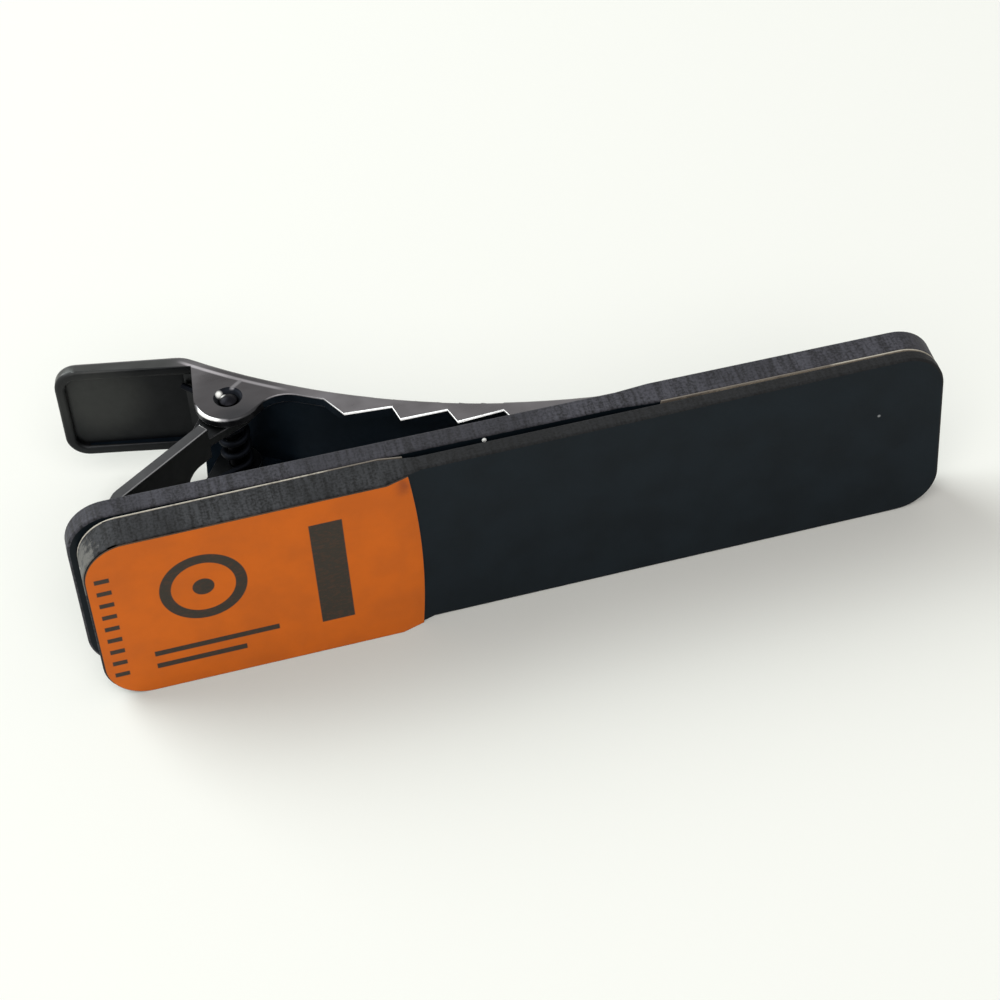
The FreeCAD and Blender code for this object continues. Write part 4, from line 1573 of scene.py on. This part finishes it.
    def pin_mesh(self) -> BMesh:
        """Build the pin: a half section with domed ends, spun about its axis.

        Returns:
            The mesh.
        """
        bm = bmesh.new()
        ball = (self.pin_radius ** 2 + self.pin_dome ** 2) / (2 * self.pin_dome)
        shoulder = math.asin(self.pin_radius / ball)
        ends = []
        for side in (1, -1):
            pole = bm.verts.new((0.0, 0.0, side * self.pin_half))
            made = bmesh.ops.spin(
                bm, geom=[pole], cent=(0.0, 0.0, side * (self.pin_half - ball)), axis=(0.0, side, 0.0),
                angle=shoulder, steps=self.pin_dome_steps)
            ends.append(only(BMVert, made["geom_last"])[0])
        bm.edges.new(ends)
        bmesh.ops.spin(
            bm, geom=[*bm.verts, *bm.edges], cent=ORIGIN, axis=(0.0, 0.0, 1.0), angle=2 * math.pi,
            steps=self.pin_steps, use_merge=True)
        bmesh.ops.remove_doubles(bm, verts=bm.verts[:], dist=MERGE)
        bmesh.ops.recalc_face_normals(bm, faces=bm.faces[:])
        bmesh.ops.transform(bm, matrix=self.on_pivot(), verts=bm.verts[:])
        return bm

    def spring_mesh(self) -> BMesh:
        """Build the spring: a leg, a coil spun round the pin with a rise at each step, and a leg.

        Returns:
            The mesh.
        """
        bm = bmesh.new()
        start, end = self.coil_start, self.coil_start + self.coil_sweep
        first_way = Vector((-math.sin(start), math.cos(start), 0.0))
        last_way = Vector((-math.sin(end), math.cos(end), 0.0))
        coil_foot = Vector((math.cos(start), math.sin(start), 0.0)) * self.coil_radius
        coil_foot.z = -self.coil_length / 2
        turn = first_way.to_track_quat("Z", "Y").to_matrix().to_4x4()
        place = Matrix.Translation(coil_foot - first_way * self.strut_leg) @ turn
        bmesh.ops.create_circle(bm, segments=self.wire_sides, radius=self.wire_radius, matrix=place)
        leg = bmesh.ops.extrude_edge_only(bm, edges=bm.edges[:])["geom"]
        leg_end = only(BMVert, leg)
        moved(leg_end, bm, first_way * self.strut_leg)
        ring = [edge for edge in only(BMEdge, leg) if all(vert in leg_end for vert in edge.verts)]
        coil = bmesh.ops.spin(
            bm, geom=[*leg_end, *ring], cent=ORIGIN, axis=(0.0, 0.0, 1.0), angle=self.coil_sweep,
            dvec=(0.0, 0.0, self.coil_length / self.coil_steps), steps=self.coil_steps)["geom_last"]
        tail = bmesh.ops.extrude_edge_only(bm, edges=only(BMEdge, coil))["geom"]
        moved(only(BMVert, tail), bm, last_way * self.tab_leg)
        bmesh.ops.holes_fill(bm, edges=[edge for edge in bm.edges if edge.is_boundary], sides=0)
        bmesh.ops.recalc_face_normals(bm, faces=bm.faces[:])
        bmesh.ops.transform(bm, matrix=self.on_pivot(), verts=bm.verts[:])
        return bm

    def glue_pad_mesh(self) -> BMesh:
        """Build the glue under the foot: the solid's pad with softened sides.

        Returns:
            The mesh.
        """
        bm = copy_of("clip_glue")
        weigh_edges(bm)
        return bm

    def build(self) -> None:
        """Make the clip's pieces and dress them."""
        use = self.jaw_finishes()
        cut = Plating(
            "black_nickel_cut_edge", (0.055, 0.056, 0.059), 0.34, stretch=(1.0, 1.0, 0.2), streak_scale=5.0)
        # Painted highlight: a bright spot on the pin's dome.
        painted_glint = Patch(self.from_pin(-0.32, 0.38), 0.12, 0.3, (0.95, 0.95, 0.94))
        # Painted shade: the pin is kept near black, like the dish around it.
        steel = Plating("pin_steel_painted_shade", (0.008, 0.008, 0.010), 0.3, wear_share=0.0, patches=(painted_glint,))
        glue = ClearGlue("glue_under_foot", (0.70, 0.66, 0.55), 0.22)
        worn = Softening(self.ear_round, 2, JawLayer.ARRIS)
        jaw = make_piece("jaw_sheet", self.jaw_mesh(), [use[layer] for layer in JawLayer], worn)
        settle(jaw, Slot.NICKEL, "toothed_jaw", Body.JAW)
        finishes = [use[JawLayer.INNER], cut, use[JawLayer.ARRIS]]
        rubbed = Softening(self.cut_round, 2, Layer.ARRIS)
        base = make_piece("base_sheet", self.base_mesh(), finishes, rubbed)
        settle(base, Slot.NICKEL, "clip_base")
        settle(make_piece("hinge_pin", self.pin_mesh(), [steel]), Slot.PIN, "pivot_pin")
        pad = make_piece("foot_glue", self.glue_pad_mesh(), [glue], Softening(self.cut_round))
        settle(pad, Slot.GLUE, "clip_glue")
        self.build_spring()

    def build_spring(self) -> None:
        """Make the spring, a coil between its two legs, and hide the solid it stands for."""
        # Painted shade: the wire is near black, standing in for the shade inside the clip.
        wire = Plating("spring_wire_painted_shade", (0.007, 0.008, 0.011), 0.5, wear_share=0.0)
        spring = make_piece("spring_wire", self.spring_mesh(), [wire])
        low = Vector(self.pivot) - Vector((0.0, 0.0, self.coil_length / 2))
        high = Vector(self.pivot) + Vector((0.0, 0.0, self.coil_length / 2))
        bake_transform(spring)
        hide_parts("return_spring")


# The studio


@dataclass(frozen=True)
class Lamp:
    """A soft lamp that looks at the object: its place and sides in metres, and its power in watts."""

    name: str
    place: Point
    sides: tuple[float, float]
    power: float
    colour: Colour

    def build(self) -> None:
        """Make the lamp."""
        data = bpy.data.lights.new(self.name, "AREA")
        data.shape = "RECTANGLE"
        data.size, data.size_y = self.sides
        data.energy = self.power
        data.color = self.colour
        lamp = bpy.data.objects.new(self.name, data)
        lamp.location = self.place
        lamp.rotation_euler = (-Vector(self.place)).to_track_quat("-Z", "Y").to_euler()
        bpy.context.scene.collection.objects.link(lamp)


@dataclass
class Studio:
    """Floor, light and camera. The camera's place is in metres."""

    ambient: float = 0.31
    white: float = 1.0
    sky: Colour = (1.0, 0.99, 0.96)
    floor: FloorPaint = FloorPaint("floor_pale", (0.93, 0.932, 0.905), 0.9)
    floor_reach: float = 3000.0
    lamps: tuple[Lamp, ...] = (
        Lamp("key_lamp", (-0.37, 0.31, 0.45), (0.5, 0.5), 3.4, (0.95, 1.0, 0.975)),
        Lamp("fill_lamp", (-0.12, -0.50, 0.60), (0.8, 0.6), 3.1, (1.0, 0.98, 0.94)),
    )
    focal_length: float = 100.8
    sensor: float = 36.0
    nearest: float = 0.01
    eye: Point = (-0.022788, -0.109660, 0.119530)
    right: Point = (0.966433459, -0.249963838, -0.059367069)
    up: Point = (0.217935187, 0.675241436, 0.704665352)
    back: Point = (-0.136053751, -0.693950347, 0.707051832)

    def build(self) -> None:
        """Make the studio."""
        self.make_floor()
        self.make_world()
        for lamp in self.lamps:
            lamp.build()
        self.make_camera()

    def make_floor(self) -> None:
        """A plain pale floor at the object's lowest level."""
        bm = bmesh.new()
        bmesh.ops.create_grid(bm, x_segments=1, y_segments=1, size=self.floor_reach)
        make_piece("floor", bm, [self.floor])

    def make_world(self) -> None:
        """Even light, and white where the camera or a reflection sees it."""
        world = bpy.data.worlds.new("studio")
        world.use_nodes = True
        bpy.context.scene.world = world
        sheet = NodeSheet(world.node_tree)
        background = next(node for node in world.node_tree.nodes if node.type == "BACKGROUND")
        path = sheet.add("LightPath").outputs
        seen = sheet.math("MAXIMUM", path["Is Camera Ray"], path["Is Glossy Ray"])
        seen = sheet.math("MAXIMUM", seen, path["Is Transmission Ray"])
        sheet.feed(background.inputs, {
            "Color": (*self.sky, 1.0),
            "Strength": sheet.ramp(seen, 0.0, 1.0, self.ambient, self.white),
        })

    def make_camera(self) -> None:
        """Make the camera at the photograph's viewpoint."""
        data = bpy.data.cameras.new("camera")
        data.lens = self.focal_length
        data.sensor_width = self.sensor
        data.clip_start = self.nearest
        camera = bpy.data.objects.new("camera", data)
        turn = Matrix((self.right, self.up, self.back)).transposed().to_4x4()
        camera.matrix_world = Matrix.Translation(self.eye) @ turn
        bpy.context.scene.collection.objects.link(camera)
        bpy.context.scene.camera = camera


def main() -> None:
    """Build the tie clip and its studio."""
    logging.basicConfig(level=logging.INFO, format="%(name)s: %(message)s")
    bpy.context.scene.view_settings.view_transform = "Standard"
    Bar().build()
    PinchClip().build()
    Studio().build()


if __name__ == "__main__":
    main()
